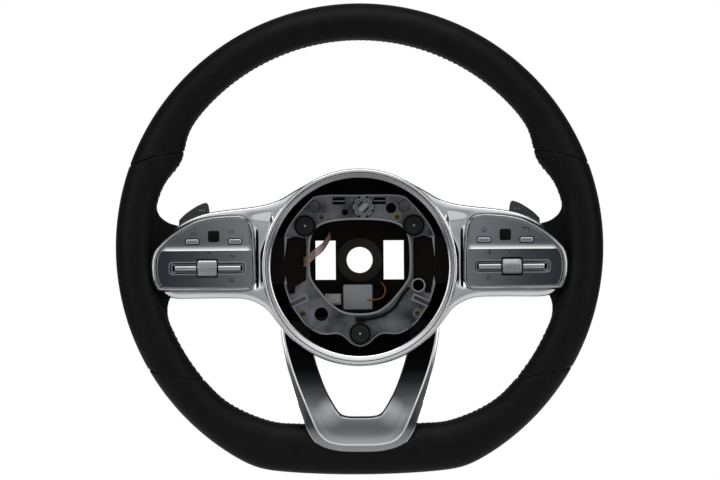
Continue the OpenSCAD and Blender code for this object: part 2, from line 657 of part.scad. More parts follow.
// The web that joins a bar to its pin, as wide as the lugs leave room for
function web_of(b) = b[1] - b[0] - 2 * (lug_w + lug_gap) - bar_h;
module pod_frame(s) {
    color(chrome) on_side(s) difference() {
        slab(bezel_face + 0.5, panel_front + 0.4) frame_flat();
        slab(bezel_face, panel_front + 1) panel_flat(0.15);
        slab(panel_front - 1, panel_front + 1) panel_flat(0.9);
    }
}
module switch_panel(s) {
    z0 = button_z - button_h / 2 - 0.4;
    color(silver) on_side(s) difference() {
        slab(panel_back, panel_front) panel_flat(0);
        block(70, 160, panel_high, panel_front + 1, z0, 40);
        translate([70, 0, 0]) rotate([90, 0, 90]) linear_extrude(height = 90)
            polygon([[-panel_high, z0 + 1], [-panel_high, z0], [-panel_front, z0 - 4.4], [-panel_front - 1, z0 - 4.4],
                [-panel_front - 1, z0 + 1]]);
        slab(panel_back - 1, panel_front + 1) {
            translate([slot_mid[0] - slot_w / 2, slot_mid[1] - slot_h / 2]) square([slot_w, slot_h]);
            translate(slot_mid) square([roller_w + 2 * lug_gap, roller_d - 0.6], center = true);
            for (x = [button_in, button_out]) translate([x, button_z])
                square([button_w + 2 * gap, button_h + 2 * gap], center = true);
            translate(pad_at) square(pad_w + 2 * gap, center = true);
        }
        slab(panel_back - 1, panel_front - 0.6) translate(slot_mid)
            square([roller_w + 2 * lug_gap, roller_d + 1.2], center = true);
    }
}
module lug(x, depth, r) {
    difference() {
        union() {
            cross_pin(x, x + lug_w, depth, slot_mid[1], r + 0.5);
            block(x, x + lug_w, housing_back + 0.5, depth, slot_mid[1] - r - 0.5, slot_mid[1] + r + 0.5);
        }
        cross_pin(x - 1, x + lug_w + 1, depth, slot_mid[1], r + fit);
    }
}
module switch_housing(s, pivot) {
    color("#2a2b2d") on_side(s) {
        difference() {
            slab(housing_back, panel_back) panel_flat(-1);
            slab(housing_back + housing_wall, panel_back + 1) panel_flat(-1 - housing_wall);
            slab(housing_back - 1, panel_back) translate(slot_mid)
                square([roller_w + 0.4, roller_d + 1.6], center = true);
        }
        lug(roller_x0 - lug_gap - lug_w, pivot, pin_d / 2);
        lug(roller_x1 + lug_gap, pivot, pin_d / 2);
        for (b = [bar_in, bar_out]) {
            lug((b[0] + b[1] - web_of(b)) / 2 - lug_gap - lug_w, bar_pivot, bar_pin_r);
            lug((b[0] + b[1] + web_of(b)) / 2 + lug_gap, bar_pivot, bar_pin_r);
        }
    }
}
module push_button(s, x) {
    color(silver) on_side(s) {
        translate([x, 0, button_z]) slab(panel_back - 1.2, panel_high + 0.5 + button_travel)
            round_rect(button_w, button_h, 0.7);
        translate([x, 0, button_z]) slab(panel_back - 1.3, panel_back - gap) square([button_w + 2, button_h + 2], center = true);
    }
}
module touch_pad(s) {
    color("#050505") on_side(s) translate([pad_at[0], 0, pad_at[1]]) {
        slab(panel_back - 1.2, panel_high + 0.1 + pad_travel) round_rect(pad_w, pad_w, 0.8);
        slab(panel_back - 1.3, panel_back - gap) square(pad_w + 2, center = true);
    }
}
module toggle(s, b) {
    x0 = (b[0] + b[1] - web_of(b)) / 2;
    x1 = x0 + web_of(b);
    r = bar_h / 2;
    color(silver) on_side(s) {
        difference() {
            cross_pin(b[0], b[1], bar_front - r, slot_mid[1], r);
            block(b[0] - 1, b[1] + 1, bar_front - bar_h - 1, bar_front - bar_depth, slot_mid[1] - r, slot_mid[1] + r);
        }
        block(b[0], b[1], bar_front - bar_depth, bar_front - r, slot_mid[1] - r, slot_mid[1] + r);
        block(x0, x1, bar_pivot, bar_front - r, slot_mid[1] - 1.2, slot_mid[1] + 1.2);
        cross_pin(x0 - lug_gap - lug_w, x1 + lug_gap + lug_w, bar_pivot, slot_mid[1], bar_pin_r);
    }
}
module left_rocker() {
    h = rocker_h / 2;
    color(chrome) on_side(-1) difference() {
        translate([roller_x0, 0, slot_mid[1]]) rotate([90, 0, 90]) linear_extrude(height = roller_w)
            polygon([[-rocker_pivot + 2.6, -3], [-rocker_pivot - 1, -h], [-panel_front - 1, -h], [-panel_front - 3, -h * 0.45],
                [-panel_front - 2.4, 0], [-panel_front - 3, h * 0.45], [-panel_front - 1, h],
                [-rocker_pivot - 1, h], [-rocker_pivot + 2.6, 3]]);
        cross_pin(roller_x0 - 1, roller_x1 + 1, rocker_pivot, slot_mid[1], pin_d / 2 + fit);
    }
}
module right_roller() {
    color(chrome) difference() {
        cross_pin(roller_x0, roller_x1, roller_pivot, slot_mid[1], roller_d / 2);
        cross_pin(roller_x0 - 1, roller_x1 + 1, roller_pivot, slot_mid[1], pin_d / 2 + fit);
    }
}
module switch_pin(s, depth) {
    color("#9a9c9f") on_side(s)
        cross_pin(roller_x0 - lug_gap - lug_w, roller_x1 + lug_gap + lug_w, depth, slot_mid[1], pin_d / 2);
}
module left_pod_frame() {
    pod_frame(-1);
}
module left_switch_panel() {
    switch_panel(-1);
}
module left_switch_housing() {
    switch_housing(-1, rocker_pivot);
}
module left_outer_button() {
    push_button(-1, button_out);
}
module left_inner_button() {
    push_button(-1, button_in);
}
module left_touch_pad() {
    touch_pad(-1);
}
module left_outer_toggle() {
    toggle(-1, bar_out);
}
module left_inner_toggle() {
    toggle(-1, bar_in);
}
module left_rocker_pin() {
    switch_pin(-1, rocker_pivot);
}
module right_pod_frame() {
    pod_frame(1);
}
module right_switch_panel() {
    switch_panel(1);
}
module right_switch_housing() {
    switch_housing(1, roller_pivot);
}
module right_outer_button() {
    push_button(1, button_out);
}
module right_inner_button() {
    push_button(1, button_in);
}
module right_touch_pad() {
    touch_pad(1);
}
module right_outer_toggle() {
    toggle(1, bar_out);
}
module right_inner_toggle() {
    toggle(1, bar_in);
}
module right_roller_pin() {
    switch_pin(1, roller_pivot);
}

// The shift paddles behind the spokes, with their brackets and hinge pins
bracket_x0 = hinge_x - 8;
bracket_x1 = hinge_x + 8;
bracket_h = 36;
ear_h = 4;
blade_line = side_spoke([[138, 29.5], [136.9, paddle_top - 12.6], [132.3, paddle_top - 8.2], [124.5, paddle_top - 3],
    [118.6, paddle_top - 0.5], [116.2, paddle_top - 0.9], [114.9, paddle_top - 5], [113, 24], [108.5, 8],
    [107, -6], [110, paddle_low + 3], [116, paddle_low], [126, paddle_low + 2], [134, -6], [138, 10]]);
module paddle(s) {
    color("#3b3d3f") on_side(s) difference() {
        union() {
            slab(blade_back, blade_back + paddle_thick) polygon(curve(blade_line, 3));
            block(hinge_x, out(116), hinge_depth - 2, blade_back + 1.5, -knuckle_h / 2, knuckle_h / 2);
            translate([hinge_x, -hinge_depth, -knuckle_h / 2]) cylinder(r = knuckle_r, h = knuckle_h);
        }
        translate([hinge_x, -hinge_depth, -knuckle_h]) cylinder(r = hinge_d / 2 + fit, h = 2 * knuckle_h);
    }
}
module paddle_bracket(s) {
    color("#242526") on_side(s) difference() {
        union() {
            block(bracket_x0, bracket_x1, hinge_depth + knuckle_r + 2, arm_back, -bracket_h / 2, bracket_h / 2);
            for (z = [knuckle_h / 2 + gap, -knuckle_h / 2 - gap - ear_h]) {
                block(hinge_x - 4, hinge_x + 4, hinge_depth, hinge_depth + knuckle_r + 3, z, z + ear_h);
                translate([hinge_x, -hinge_depth, z]) cylinder(r = 4, h = ear_h);
            }
        }
        translate([hinge_x, -hinge_depth, -bracket_h]) cylinder(r = hinge_d / 2 + fit, h = 2 * bracket_h);
    }
}
module paddle_pin(s) {
    long = knuckle_h + 2 * gap + 2 * ear_h + 1;
    color("#9a9c9f") on_side(s) translate([hinge_x, -hinge_depth, -long / 2]) cylinder(r = hinge_d / 2, h = long);
}
module left_paddle() {
    paddle(-1);
}
module left_paddle_bracket() {
    paddle_bracket(-1);
}
module left_paddle_pin() {
    paddle_pin(-1);
}
module right_paddle() {
    paddle(1);
}
module right_paddle_bracket() {
    paddle_bracket(1);
}
module right_paddle_pin() {
    paddle_pin(1);
}

armature();
hub_boss();
rim_top();
rim_left_grip();
rim_right_grip();
rim_bottom();
bezel();
hub_ring();
lower_spoke_trim();
lower_spoke_cover();
rear_cover();
deck_screws();
ribbed_plug();
clip_wires();
cable_cover_left();
cable_cover_right();
control_unit();
label_plate();
connector();
switch_wires();
orange_lead();
horn_lead();
sleeve_left();
sleeve_right();
sleeve_lower();
plunger_left();
plunger_right();
plunger_lower();
left_pod_frame();
left_switch_panel();
left_switch_housing();
left_outer_button();
left_inner_button();
left_touch_pad();
left_outer_toggle();
left_inner_toggle();
left_rocker();
left_rocker_pin();
right_pod_frame();
right_switch_panel();
right_switch_housing();
right_outer_button();
right_inner_button();
right_touch_pad();
right_outer_toggle();
right_inner_toggle();
right_roller();
right_roller_pin();
left_paddle();
left_paddle_bracket();
left_paddle_pin();
right_paddle();
right_paddle_bracket();
right_paddle_pin();
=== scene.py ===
import json
import math

import bpy
import numpy
from mathutils import Matrix, Vector


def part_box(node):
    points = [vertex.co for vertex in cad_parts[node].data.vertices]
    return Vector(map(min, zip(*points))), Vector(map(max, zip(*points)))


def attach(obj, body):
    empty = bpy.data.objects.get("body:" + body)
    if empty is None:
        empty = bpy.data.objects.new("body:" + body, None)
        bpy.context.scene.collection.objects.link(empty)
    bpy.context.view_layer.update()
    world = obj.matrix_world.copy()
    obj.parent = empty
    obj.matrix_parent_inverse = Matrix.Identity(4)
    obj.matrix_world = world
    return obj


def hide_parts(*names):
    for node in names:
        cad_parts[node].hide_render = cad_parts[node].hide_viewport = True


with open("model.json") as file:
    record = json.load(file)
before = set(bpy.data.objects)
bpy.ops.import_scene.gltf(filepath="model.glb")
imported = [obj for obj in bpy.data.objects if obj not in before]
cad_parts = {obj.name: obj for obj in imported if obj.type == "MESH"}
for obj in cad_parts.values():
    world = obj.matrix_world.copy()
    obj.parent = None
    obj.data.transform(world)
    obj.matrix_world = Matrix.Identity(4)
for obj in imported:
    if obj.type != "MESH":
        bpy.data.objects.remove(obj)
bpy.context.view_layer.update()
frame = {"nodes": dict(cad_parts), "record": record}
bpy.ops.object.select_all(action="DESELECT")

MM, METRE = 0.001, 1000
NODES = frame["nodes"]
LEDGE_TOP, LEDGE_FOOT = 13.4, 8.1
BODY_OF = {n: body for body, names in frame["record"]["behaviour"]["bodies"].items() for n in names}
MADE = set()


def linear(hex_colour):
    """The linear RGBA of an sRGB hex value."""
    values = [int(hex_colour[i:i + 2], 16) / 255 for i in (1, 3, 5)]
    return [v / 12.92 if v <= 0.04045 else ((v + 0.055) / 1.055) ** 2.4 for v in values] + [1.0]


def fill(tree, node, **inputs):
    """Links or sets a node's inputs: an input's name has _ for a space, or gives its number as _0."""
    for name, value in inputs.items():
        socket = node.inputs[int(name[1:])] if name[1:].isdigit() else node.inputs[name.replace("_", " ")]
        if isinstance(value, bpy.types.NodeSocket):
            tree.links.new(value, socket)
        else:
            socket.default_value = value


def add(tree, kind, settings=None, **inputs):
    """Adds a node, sets it and fills its inputs. The stops of a ramp are (place, hex colour)."""
    node = tree.nodes.new(kind)
    for name, value in (settings or {}).items():
        if name == "stops":
            points = node.color_ramp.elements
            while len(points) < len(value):
                points.new(0.5)
            for point, (place, colour) in zip(points, value):
                point.position, point.color = place, linear(colour)
        else:
            setattr(node, name, value)
    fill(tree, node, **inputs)
    return node


def material(name, **principled):
    """A new material with a Principled shader on its output."""
    made = bpy.data.materials.new(name)
    made.use_nodes = True
    made.node_tree.nodes.clear()
    shader = add(made.node_tree, "ShaderNodeBsdfPrincipled", **principled)
    add(made.node_tree, "ShaderNodeOutputMaterial", Surface=shader.outputs[0])
    return made, made.node_tree, shader


# Nappa leather, drum-dyed and finely embossed: near black, with a soft sheen where it turns away
def leather(name, grain_mm, depth, hole_mm=0.0, pitch_mm=2.2):
    made, tree, shader = material(name, Roughness=0.52, Specular_IOR_Level=0.1, Sheen_Weight=0.1,
                                  Sheen_Roughness=0.3)
    where = add(tree, "ShaderNodeTexCoord").outputs["Object"]
    cells = add(tree, "ShaderNodeTexVoronoi", {"feature": "SMOOTH_F1"}, Vector=where, Scale=METRE / grain_mm)
    wrinkle = add(tree, "ShaderNodeTexNoise", Vector=where, Scale=90, Detail=4)
    tone = add(tree, "ShaderNodeValToRGB", {"stops": [(0.3, "#070708"), (0.7, "#0d0d0e")]},
               Fac=wrinkle.outputs["Fac"]).outputs[0]
    fine = add(tree, "ShaderNodeBump", Strength=depth, Distance=0.0002, Height=cells.outputs["Distance"])
    normal = add(tree, "ShaderNodeBump", Strength=0.15, Distance=0.0004, Height=wrinkle.outputs["Fac"],
                 Normal=fine.outputs[0]).outputs[0]
    if hole_mm:
        # Punched holes in staggered rows, painted darker as the shade inside them: the map is in millimetres
        # along and round the rim
        along = add(tree, "ShaderNodeUVMap", {"uv_map": "UVMap"}).outputs[0]
        turned = add(tree, "ShaderNodeMapping", Vector=along, Rotation=(0, 0, math.radians(45)),
                     Scale=(1 / pitch_mm, 1 / pitch_mm, 1 / pitch_mm))
        lattice = add(tree, "ShaderNodeTexVoronoi", {"voronoi_dimensions": "2D"}, Vector=turned.outputs[0],
                      Scale=1.0, Randomness=0.0)
        edge = hole_mm / pitch_mm / 2
        hole = add(tree, "ShaderNodeMapRange", Value=lattice.outputs["Distance"], From_Min=edge - 0.05,
                   From_Max=edge + 0.06).outputs[0]
        tone = add(tree, "ShaderNodeMix", {"data_type": "RGBA"}, _0=hole, _6=linear("#040404"),
                   _7=tone).outputs[2]
        normal = add(tree, "ShaderNodeBump", Strength=0.3, Distance=0.0003, Height=hole,
                     Normal=normal).outputs[0]
    fill(tree, shader, Base_Color=tone, Normal=normal)
    return made


# Metal or metallised lacquer: a faint cloud in the colour and fine grit in the gloss
def metal(name, dark, light, rough, grit_mm=0.6, depth=0.0, metallic=1.0, clouds=35):
    made, tree, shader = material(name, Metallic=metallic, Roughness=rough)
    where = add(tree, "ShaderNodeTexCoord").outputs["Object"]
    cloud = add(tree, "ShaderNodeTexNoise", Vector=where, Scale=clouds, Detail=4)
    colour = add(tree, "ShaderNodeValToRGB", {"stops": [(0.3, dark), (0.7, light)]}, Fac=cloud.outputs["Fac"])
    grit = add(tree, "ShaderNodeTexNoise", Vector=where, Scale=METRE / grit_mm, Detail=2)
    gloss = add(tree, "ShaderNodeMapRange", Value=grit.outputs["Fac"], To_Min=rough - 0.04,
                To_Max=rough + 0.04)
    fill(tree, shader, Base_Color=colour.outputs[0], Roughness=gloss.outputs[0])
    if depth:
        bump = add(tree, "ShaderNodeBump", Strength=depth, Distance=0.0001, Height=grit.outputs["Fac"])
        fill(tree, shader, Normal=bump.outputs[0])
    return made


# A metal whose colour is painted lighter or darker with the height, as painted light and shade: stops are
# (height in mm, hex colour), from low to high
def metal_painted_by_height(name, rough, stops, painted_highlight=None):
    made, tree, shader = material(name, Metallic=1.0, Roughness=rough)
    where = add(tree, "ShaderNodeTexCoord").outputs["Object"]
    height = add(tree, "ShaderNodeSeparateXYZ", Vector=where).outputs["Z"]
    low, high = stops[0][0], stops[-1][0]
    place = add(tree, "ShaderNodeMapRange", Value=height, From_Min=low * MM, From_Max=high * MM).outputs[0]
    shares = [((z - low) / (high - low), colour) for z, colour in stops]
    fade = add(tree, "ShaderNodeValToRGB", {"stops": shares}, Fac=place).outputs[0]
    if painted_highlight:
        # Two painted highlights as paler clouds, one on each side: (x, z, size) in mm and a hex colour
        x, z, size, colour = painted_highlight
        cloud = 0.0
        for side in (-1, 1):
            off = add(tree, "ShaderNodeVectorMath", {"operation": "MULTIPLY_ADD"}, _0=where,
                      _1=(METRE / size, 0, METRE / size), _2=(-side * x / size, 0, -z / size))
            far = add(tree, "ShaderNodeVectorMath", {"operation": "LENGTH"},
                      _0=off.outputs[0]).outputs["Value"]
            near = add(tree, "ShaderNodeMapRange", {"interpolation_type": "SMOOTHSTEP"}, Value=far,
                       To_Min=1.0, To_Max=0.0)
            cloud = add(tree, "ShaderNodeMath", {"operation": "MAXIMUM"}, _0=near.outputs[0],
                        _1=cloud).outputs[0]
        fade = add(tree, "ShaderNodeMix", {"data_type": "RGBA"}, _0=cloud, _6=fade,
                   _7=linear(colour)).outputs[2]
    fill(tree, shader, Base_Color=fade)
    return made


# The pods' film: its grey is painted darker sideways as shade, and between two heights a painted highlight
# brightens it to the ledge's crest
def panel_film(name, rough=0.32, inner=80, outer=156, low=6, high=36):
    made, tree, shader = material(name, Metallic=1.0, Roughness=rough)
    where = add(tree, "ShaderNodeTexCoord").outputs["Object"]
    split = add(tree, "ShaderNodeSeparateXYZ", Vector=where).outputs
    sideways = add(tree, "ShaderNodeMath", {"operation": "ABSOLUTE"}, _0=split["X"]).outputs[0]
    place = add(tree, "ShaderNodeMapRange", Value=sideways, From_Min=inner * MM,
                From_Max=outer * MM).outputs[0]
    painted_side_shade = add(tree, "ShaderNodeValToRGB", {"stops": [
        (0.0, "#85888c"), (0.3, "#6c6f73"), (0.6, "#505357"), (0.85, "#42454a"), (1.0, "#3b3e42")]},
                 Fac=place)
    height = add(tree, "ShaderNodeMapRange", Value=split["Z"], From_Min=low * MM,
                 From_Max=high * MM).outputs[0]
    crest = (LEDGE_FOOT - low) / (high - low)
    painted_crest_highlight = add(tree, "ShaderNodeValToRGB", {"stops": [
        (0.0, "#000000"), (crest - 0.004, "#000000"), (crest, "#ececec"), (crest + 0.05, "#b8b8b8"),
        (crest + 0.11, "#5a5a5a"), (crest + 0.2, "#4c4e50"), (1.0, "#646668")]}, Fac=height)
    # The painted highlight fades out at both ends of the ledge
    ends = add(tree, "ShaderNodeValToRGB", {"stops": [
        (0.035, "#404040"), (0.06, "#ffffff"), (0.86, "#ffffff"), (0.93, "#202020")]}, Fac=place)
    lit = add(tree, "ShaderNodeMix", {"data_type": "RGBA", "blend_type": "MULTIPLY"},
              _0=1.0, _6=painted_crest_highlight.outputs[0], _7=ends.outputs[0])
    both = add(tree, "ShaderNodeMix", {"data_type": "RGBA", "blend_type": "SCREEN"},
               _0=1.0, _6=painted_side_shade.outputs[0], _7=lit.outputs[2])
    brushed = add(tree, "ShaderNodeMapping", Vector=where, Scale=(60, 60, 1600))
    strokes = add(tree, "ShaderNodeTexNoise", Vector=brushed.outputs[0], Scale=1.0, Detail=2)
    gloss = add(tree, "ShaderNodeMapRange", Value=strokes.outputs["Fac"], To_Min=rough - 0.05,
                To_Max=rough + 0.05)
    fill(tree, shader, Base_Color=both.outputs[2], Roughness=gloss.outputs[0])
    return made


# Moulded plastic: eroded grain from the tool, matt in the valleys
def plastic(name, dark, light, rough, grain_mm=0.8, depth=0.12, shine=0.3):
    made, tree, shader = material(name, Roughness=rough, IOR=1.5, Specular_IOR_Level=shine)
    where = add(tree, "ShaderNodeTexCoord").outputs["Object"]
    grain = add(tree, "ShaderNodeTexNoise", Vector=where, Scale=METRE / grain_mm, Detail=3)
    colour = add(tree, "ShaderNodeValToRGB", {"stops": [(0.35, dark), (0.65, light)]},
                 Fac=grain.outputs["Fac"])
    fill(tree, shader, Base_Color=colour.outputs[0])
    if depth:
        bump = add(tree, "ShaderNodeBump", Strength=depth, Distance=0.0002, Height=grain.outputs["Fac"])
        fill(tree, shader, Normal=bump.outputs[0])
    return made


# The hide of the top and the bottom of the rim: even and near black
NAPPA = leather("embossed_nappa_leather", 1.1, 0.25)
# The same hide on the grips, punched in rows: a field of small dots painted dark as shade in the holes
PERFORATED = leather("perforated_nappa_leather", 1.1, 0.25, hole_mm=0.75)
# Twisted thread: short strokes, a shade paler than the hide
THREAD = plastic("bonded_polyester_thread", "#0e0e10", "#1b1b1e", 0.6, 0.3, 0.3)
# Silver lacquer over moulded plastic: bright and even, with a satin gloss
SILVER = metal("satin_silver_lacquer", "#d6d7da", "#dfe0e2", 0.15)
# Bead-blasted and anodised aluminium: a softer, greyer shine, with painted light and shade: paler towards the
# bottom of the ring, darker towards its top
RING = metal_painted_by_height("anodised_aluminium_painted_shade", 0.2, [(-78, "#f0f1f2"), (-45, "#cbccce"), (0, "#a6a7a9"),
                                                     (45, "#97989a"), (68, "#7a7a7a"), (78, "#6c6a67")])
# Satin chrome with a painted reflection: nearly black under the hub, then satin grey, with two painted
# highlights as pale clouds where the legs turn
TRIM_FACE = metal_painted_by_height("chrome_painted_reflection", 0.28, [
    (-144, "#a2a4a7"), (-136, "#95979a"), (-127, "#7c7e82"), (-117, "#8f9194"), (-109, "#64666a"),
    (-101, "#454749"), (-92, "#222324"), (-83, "#0a0a0b"), (-50, "#040404")], (23, -115, 14, "#c2c4c6"))
# The trim's outer band, with a painted reflection: brightest beside the hub, darkest halfway down
TRIM_BAND = metal_painted_by_height("chrome_band_painted_reflection", 0.2, [
    (-146, "#9b9da0"), (-136, "#8b8d90"), (-124, "#56585b"), (-116, "#3c3e40"), (-100, "#343537"),
    (-80, "#4a4b4d"), (-66, "#b4b5b8"), (-50, "#e0e1e3")])
# The trim's crease and edge: a painted highlight, one crisp pale line
TRIM_EDGE = metal("chrome_painted_edge_highlight", "#dcdddf", "#e6e7e9", 0.14)
# A fine brushed film under clear coat: painted shade darkens it towards the rim, and a painted highlight
# lights its hollowed ledge
PANEL = panel_film("brushed_film_painted_highlight")
# Smoked plating on frames and buttons: a calm mid grey
FRAME = metal("smoked_chrome_plating", "#8c8e92", "#96989c", 0.24)
# Brushed plating on the toggle bars: a little paler than the frames
TOGGLE = metal("brushed_chrome_plating", "#96989c", "#a2a4a8", 0.24)
# The sides of the slots: dull and grey, so that the slots look deep
SLOT_WALL = metal("shaded_silver_film", "#85878b", "#909296", 0.4)
# Satin plating on the rocker, the roller and thin outlines: soft, wide highlights
KEY = metal("satin_chrome_plating", "#88898d", "#94969a", 0.28)
# The bare casting: mottled grey with a gritty skin
CAST = metal("bead_blasted_die_casting", "#2b2d2e", "#74777a", 0.42, 1.2, 0.3, 0.65, 60)
# Its machined edges, made paler as a painted highlight: clean pale rims round the deck
EDGE = metal("machined_edge_painted_highlight", "#828587", "#989b9d", 0.34, metallic=0.8)
# Paint on the casting, also laid as painted shade in the well's depths, holes and grooves: brownish black and
# almost matt
COATED = plastic("black_paint_and_painted_shade", "#0b0a09", "#120f0c", 0.65, 1.5, 0.1, shine=0.06)
# Turned steel: dark, with a dull gleam
STEEL = metal("turned_steel", "#24221f", "#2f2c28", 0.4)
# The screws: the one warm metal in the well
BRASS = metal("yellow_passivated_zinc", "#4f452c", "#6b5f40", 0.38)
# The covers behind the wheel: charcoal with a coarse grain
COVER = plastic("grained_charcoal_abs", "#141416", "#1b1b1e", 0.5, 1.2, 0.25, shine=0.25)
# Black plastic: a dark ground that makes the bright parts stand out
BLACK = plastic("grained_black_abs", "#040405", "#070708", 0.5, shine=0.08)
# The plug's plating: a plain mid grey
GREY = metal("zinc_plated_pressing", "#606265", "#7a7c80", 0.36, metallic=0.8)
# The caps of the spring units: black with a hint of green
UNIT = plastic("spring_unit_cap", "#131a19", "#1b2322", 0.5, shine=0.15)
# Soft paint on the paddles: a flat slate grey
PADDLE = plastic("paddle_soft_paint", "#484b4d", "#525557", 0.42)
# The touch pads: deep black, with clean reflections
GLOSS = plastic("gloss_black_lens", "#010101", "#020202", 0.2, depth=0.0, shine=0.15)
# The bare label: a flat grey film
LABEL = plastic("plain_label_film", "#787c7e", "#828688", 0.5)
# The connector: milky nylon
WHITE = plastic("natural_nylon", "#8f8f8b", "#a3a39f", 0.5)
# The switch wires: their colours mix to a pale brown
WIRE = plastic("mixed_wire_insulation", "#7a625c", "#9a8078", 0.5)
# The orange lead: the one strong colour in the well
ORANGE = plastic("orange_wire_insulation", "#7a4a22", "#8f5a2c", 0.5)
# Marks printed on silver: near black, without gloss
INK = plastic("pad_printed_ink", "#08090a", "#0c0d0f", 0.6, depth=0.0)
# Marks printed on the paddles: pale grey
PALE_INK = plastic("pale_pad_printed_ink", "#b9bbbd", "#c3c5c7", 0.6, depth=0.0)


def only(piece):
    """Selects one object and makes it active."""
    bpy.ops.object.select_all(action="DESELECT")
    piece.select_set(True)
    bpy.context.view_layer.objects.active = piece


def edit(piece, *steps):
    """Runs edit-mode operators on all of a piece's mesh."""
    only(piece)
    bpy.ops.object.mode_set(mode="EDIT")
    bpy.ops.mesh.select_all(action="SELECT")
    for step in steps:
        step()
    bpy.ops.object.mode_set(mode="OBJECT")


def apply_modifier(piece, kind, **settings):
    only(piece)
    modifier = piece.modifiers.new(kind.lower(), kind)
    for name, value in settings.items():
        setattr(modifier, name, value)
    bpy.ops.object.modifier_apply(modifier=modifier.name)


def merge():
    bpy.ops.mesh.remove_doubles(threshold=2e-6)


def outward():
    bpy.ops.mesh.normals_make_consistent(inside=False)


def placed(name, data):
    """A new object in the scene."""
    made = bpy.data.objects.new(name, data)
    bpy.context.scene.collection.objects.link(made)
    return made


def join(parts, name):
    """Joins the parts into the first of them."""
    bpy.ops.object.select_all(action="DESELECT")
    for part in parts:
        part.select_set(True)
    bpy.context.view_layer.objects.active = parts[0]
    if len(parts) > 1:
        bpy.ops.object.join()
    parts[0].name = name
    return parts[0]


def finish(piece, look, node, smooth=32, replace=True, choose=None):
    """Gives a piece its material and its body, and lets it stand for its CAD node.
    look may be a list, and choose then gives the place in it from a face's middle in mm."""
    only(piece)
    bpy.ops.object.shade_smooth_by_angle(angle=math.radians(smooth))
    piece.data.materials.clear()
    for each in look if isinstance(look, list) else [look]:
        piece.data.materials.append(each)
    if choose:
        for face in piece.data.polygons:
            face.material_index = choose(face.center / MM)
    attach(piece, BODY_OF[node])
    if replace:
        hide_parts(node)
        MADE.add(node)


def beside(piece, look, node, smooth=50, choose=None):
    """Finishes a piece that joins the one that stands for the node."""
    finish(piece, look, node, smooth, False, choose)


def dress(node, look, bevel=0.2, choose=None):
    """A copy of a CAD node with merged faces and eased edges."""
    piece = placed(node + "_finished", NODES[node].data.copy())
    edit(piece, merge)
    apply_modifier(piece, "BEVEL", width=bevel * MM, segments=2, limit_method="ANGLE",
                   angle_limit=math.radians(30))
    finish(piece, look, node, choose=choose)
    apply_modifier(piece, "WEIGHTED_NORMAL", keep_sharp=True)


def laid_grid(name, rows, columns, place, map_at=None):
    """A grid primitive whose point (i, j) is laid at place(i, j), and its map at map_at(i, j), in mm."""
    bpy.ops.mesh.primitive_grid_add(x_subdivisions=columns - 1, y_subdivisions=rows - 1, size=1)
    piece = bpy.context.object
    piece.name = name
    for k, vertex in enumerate(piece.data.vertices):
        vertex.co = Vector(place(k // columns, k % columns)) * MM
    if map_at:
        for loop, corner in zip(piece.data.loops, piece.data.uv_layers[0].data):
            corner.uv = map_at(loop.vertex_index // columns, loop.vertex_index % columns)
    return piece


def close_and_turn_out(piece):
    """Merges the meeting edges, caps what is open and turns the faces outwards."""
    edit(piece, merge, lambda: bpy.ops.mesh.select_mode(type="VERT"),
         lambda: bpy.ops.mesh.select_all(action="DESELECT"), lambda: bpy.ops.mesh.select_non_manifold(),
         lambda: bpy.ops.mesh.edge_face_add(), lambda: bpy.ops.mesh.select_all(action="SELECT"), outward)


def skin(name, rows):
    """A closed skin over sections in mm: each row goes round one section and meets itself."""
    around = len(rows[0])
    piece = laid_grid(name, len(rows), around + 1, lambda i, j: rows[i][j % around])
    close_and_turn_out(piece)
    return piece


def outline_prism(name, outline, back, front):
    """A prism of an outline in X and Z between two depths, extruded from a filled circle."""
    bpy.ops.mesh.primitive_circle_add(vertices=len(outline), radius=1, fill_type="NGON")
    piece = bpy.context.object
    piece.name = name
    for vertex, (x, z) in zip(piece.data.vertices, outline):
        vertex.co = Vector((x, -back, z)) * MM
    reach = {"value": (0, (back - front) * MM, 0)}
    edit(piece, lambda: bpy.ops.mesh.extrude_region_move(TRANSFORM_OT_translate=reach),
         lambda: bpy.ops.mesh.select_all(action="SELECT"), outward)
    return piece


def cut(piece, *cutters):
    for cutter in cutters:
        apply_modifier(piece, "BOOLEAN", operation="DIFFERENCE", solver="EXACT", object=cutter)
    for cutter in cutters:
        bpy.data.objects.remove(cutter)


def inside(outline, x, z):
    """Whether a point lies in an outline, by counting the edges that a level ray crosses."""
    crossings = 0
    for (x0, z0), (x1, z1) in zip(outline, outline[1:] + outline[:1]):
        if (z0 > z) != (z1 > z) and x < x0 + (z - z0) * (x1 - x0) / (z1 - z0):
            crossings += 1
    return crossings % 2 == 1


def ease(a, b, x):
    t = min(1, max(0, (x - a) / (b - a)))
    return t * t * (3 - 2 * t)


def bell(x, w):
    return math.exp(-x * x / (2 * w * w))


def mix(a, b, t):
    return a + (b - a) * t


def bend(a, b, c, d, t):
    return [0.5 * (2 * q + (r - p) * t + (2 * p - 5 * q + 4 * r - s) * t * t
                   + (3 * q - p - 3 * r + s) * t ** 3)
            for p, q, r, s in zip(a, b, c, d)]


def curve(points, steps):
    m = len(points)
    return [bend(points[i - 1], points[i], points[(i + 1) % m], points[(i + 2) % m], k / steps)
            for i in range(m) for k in range(steps)]


def open_curve(points, steps):
    m = len(points)
    return [bend(points[max(0, i - 1)], points[i], points[i + 1], points[min(m - 1, i + 2)], k / steps)
            for i in range(m - 1) for k in range(steps)] + [points[-1]]


def both_halves(points):
    return points + [[-x, z] for x, z in points[-2:0:-1]]


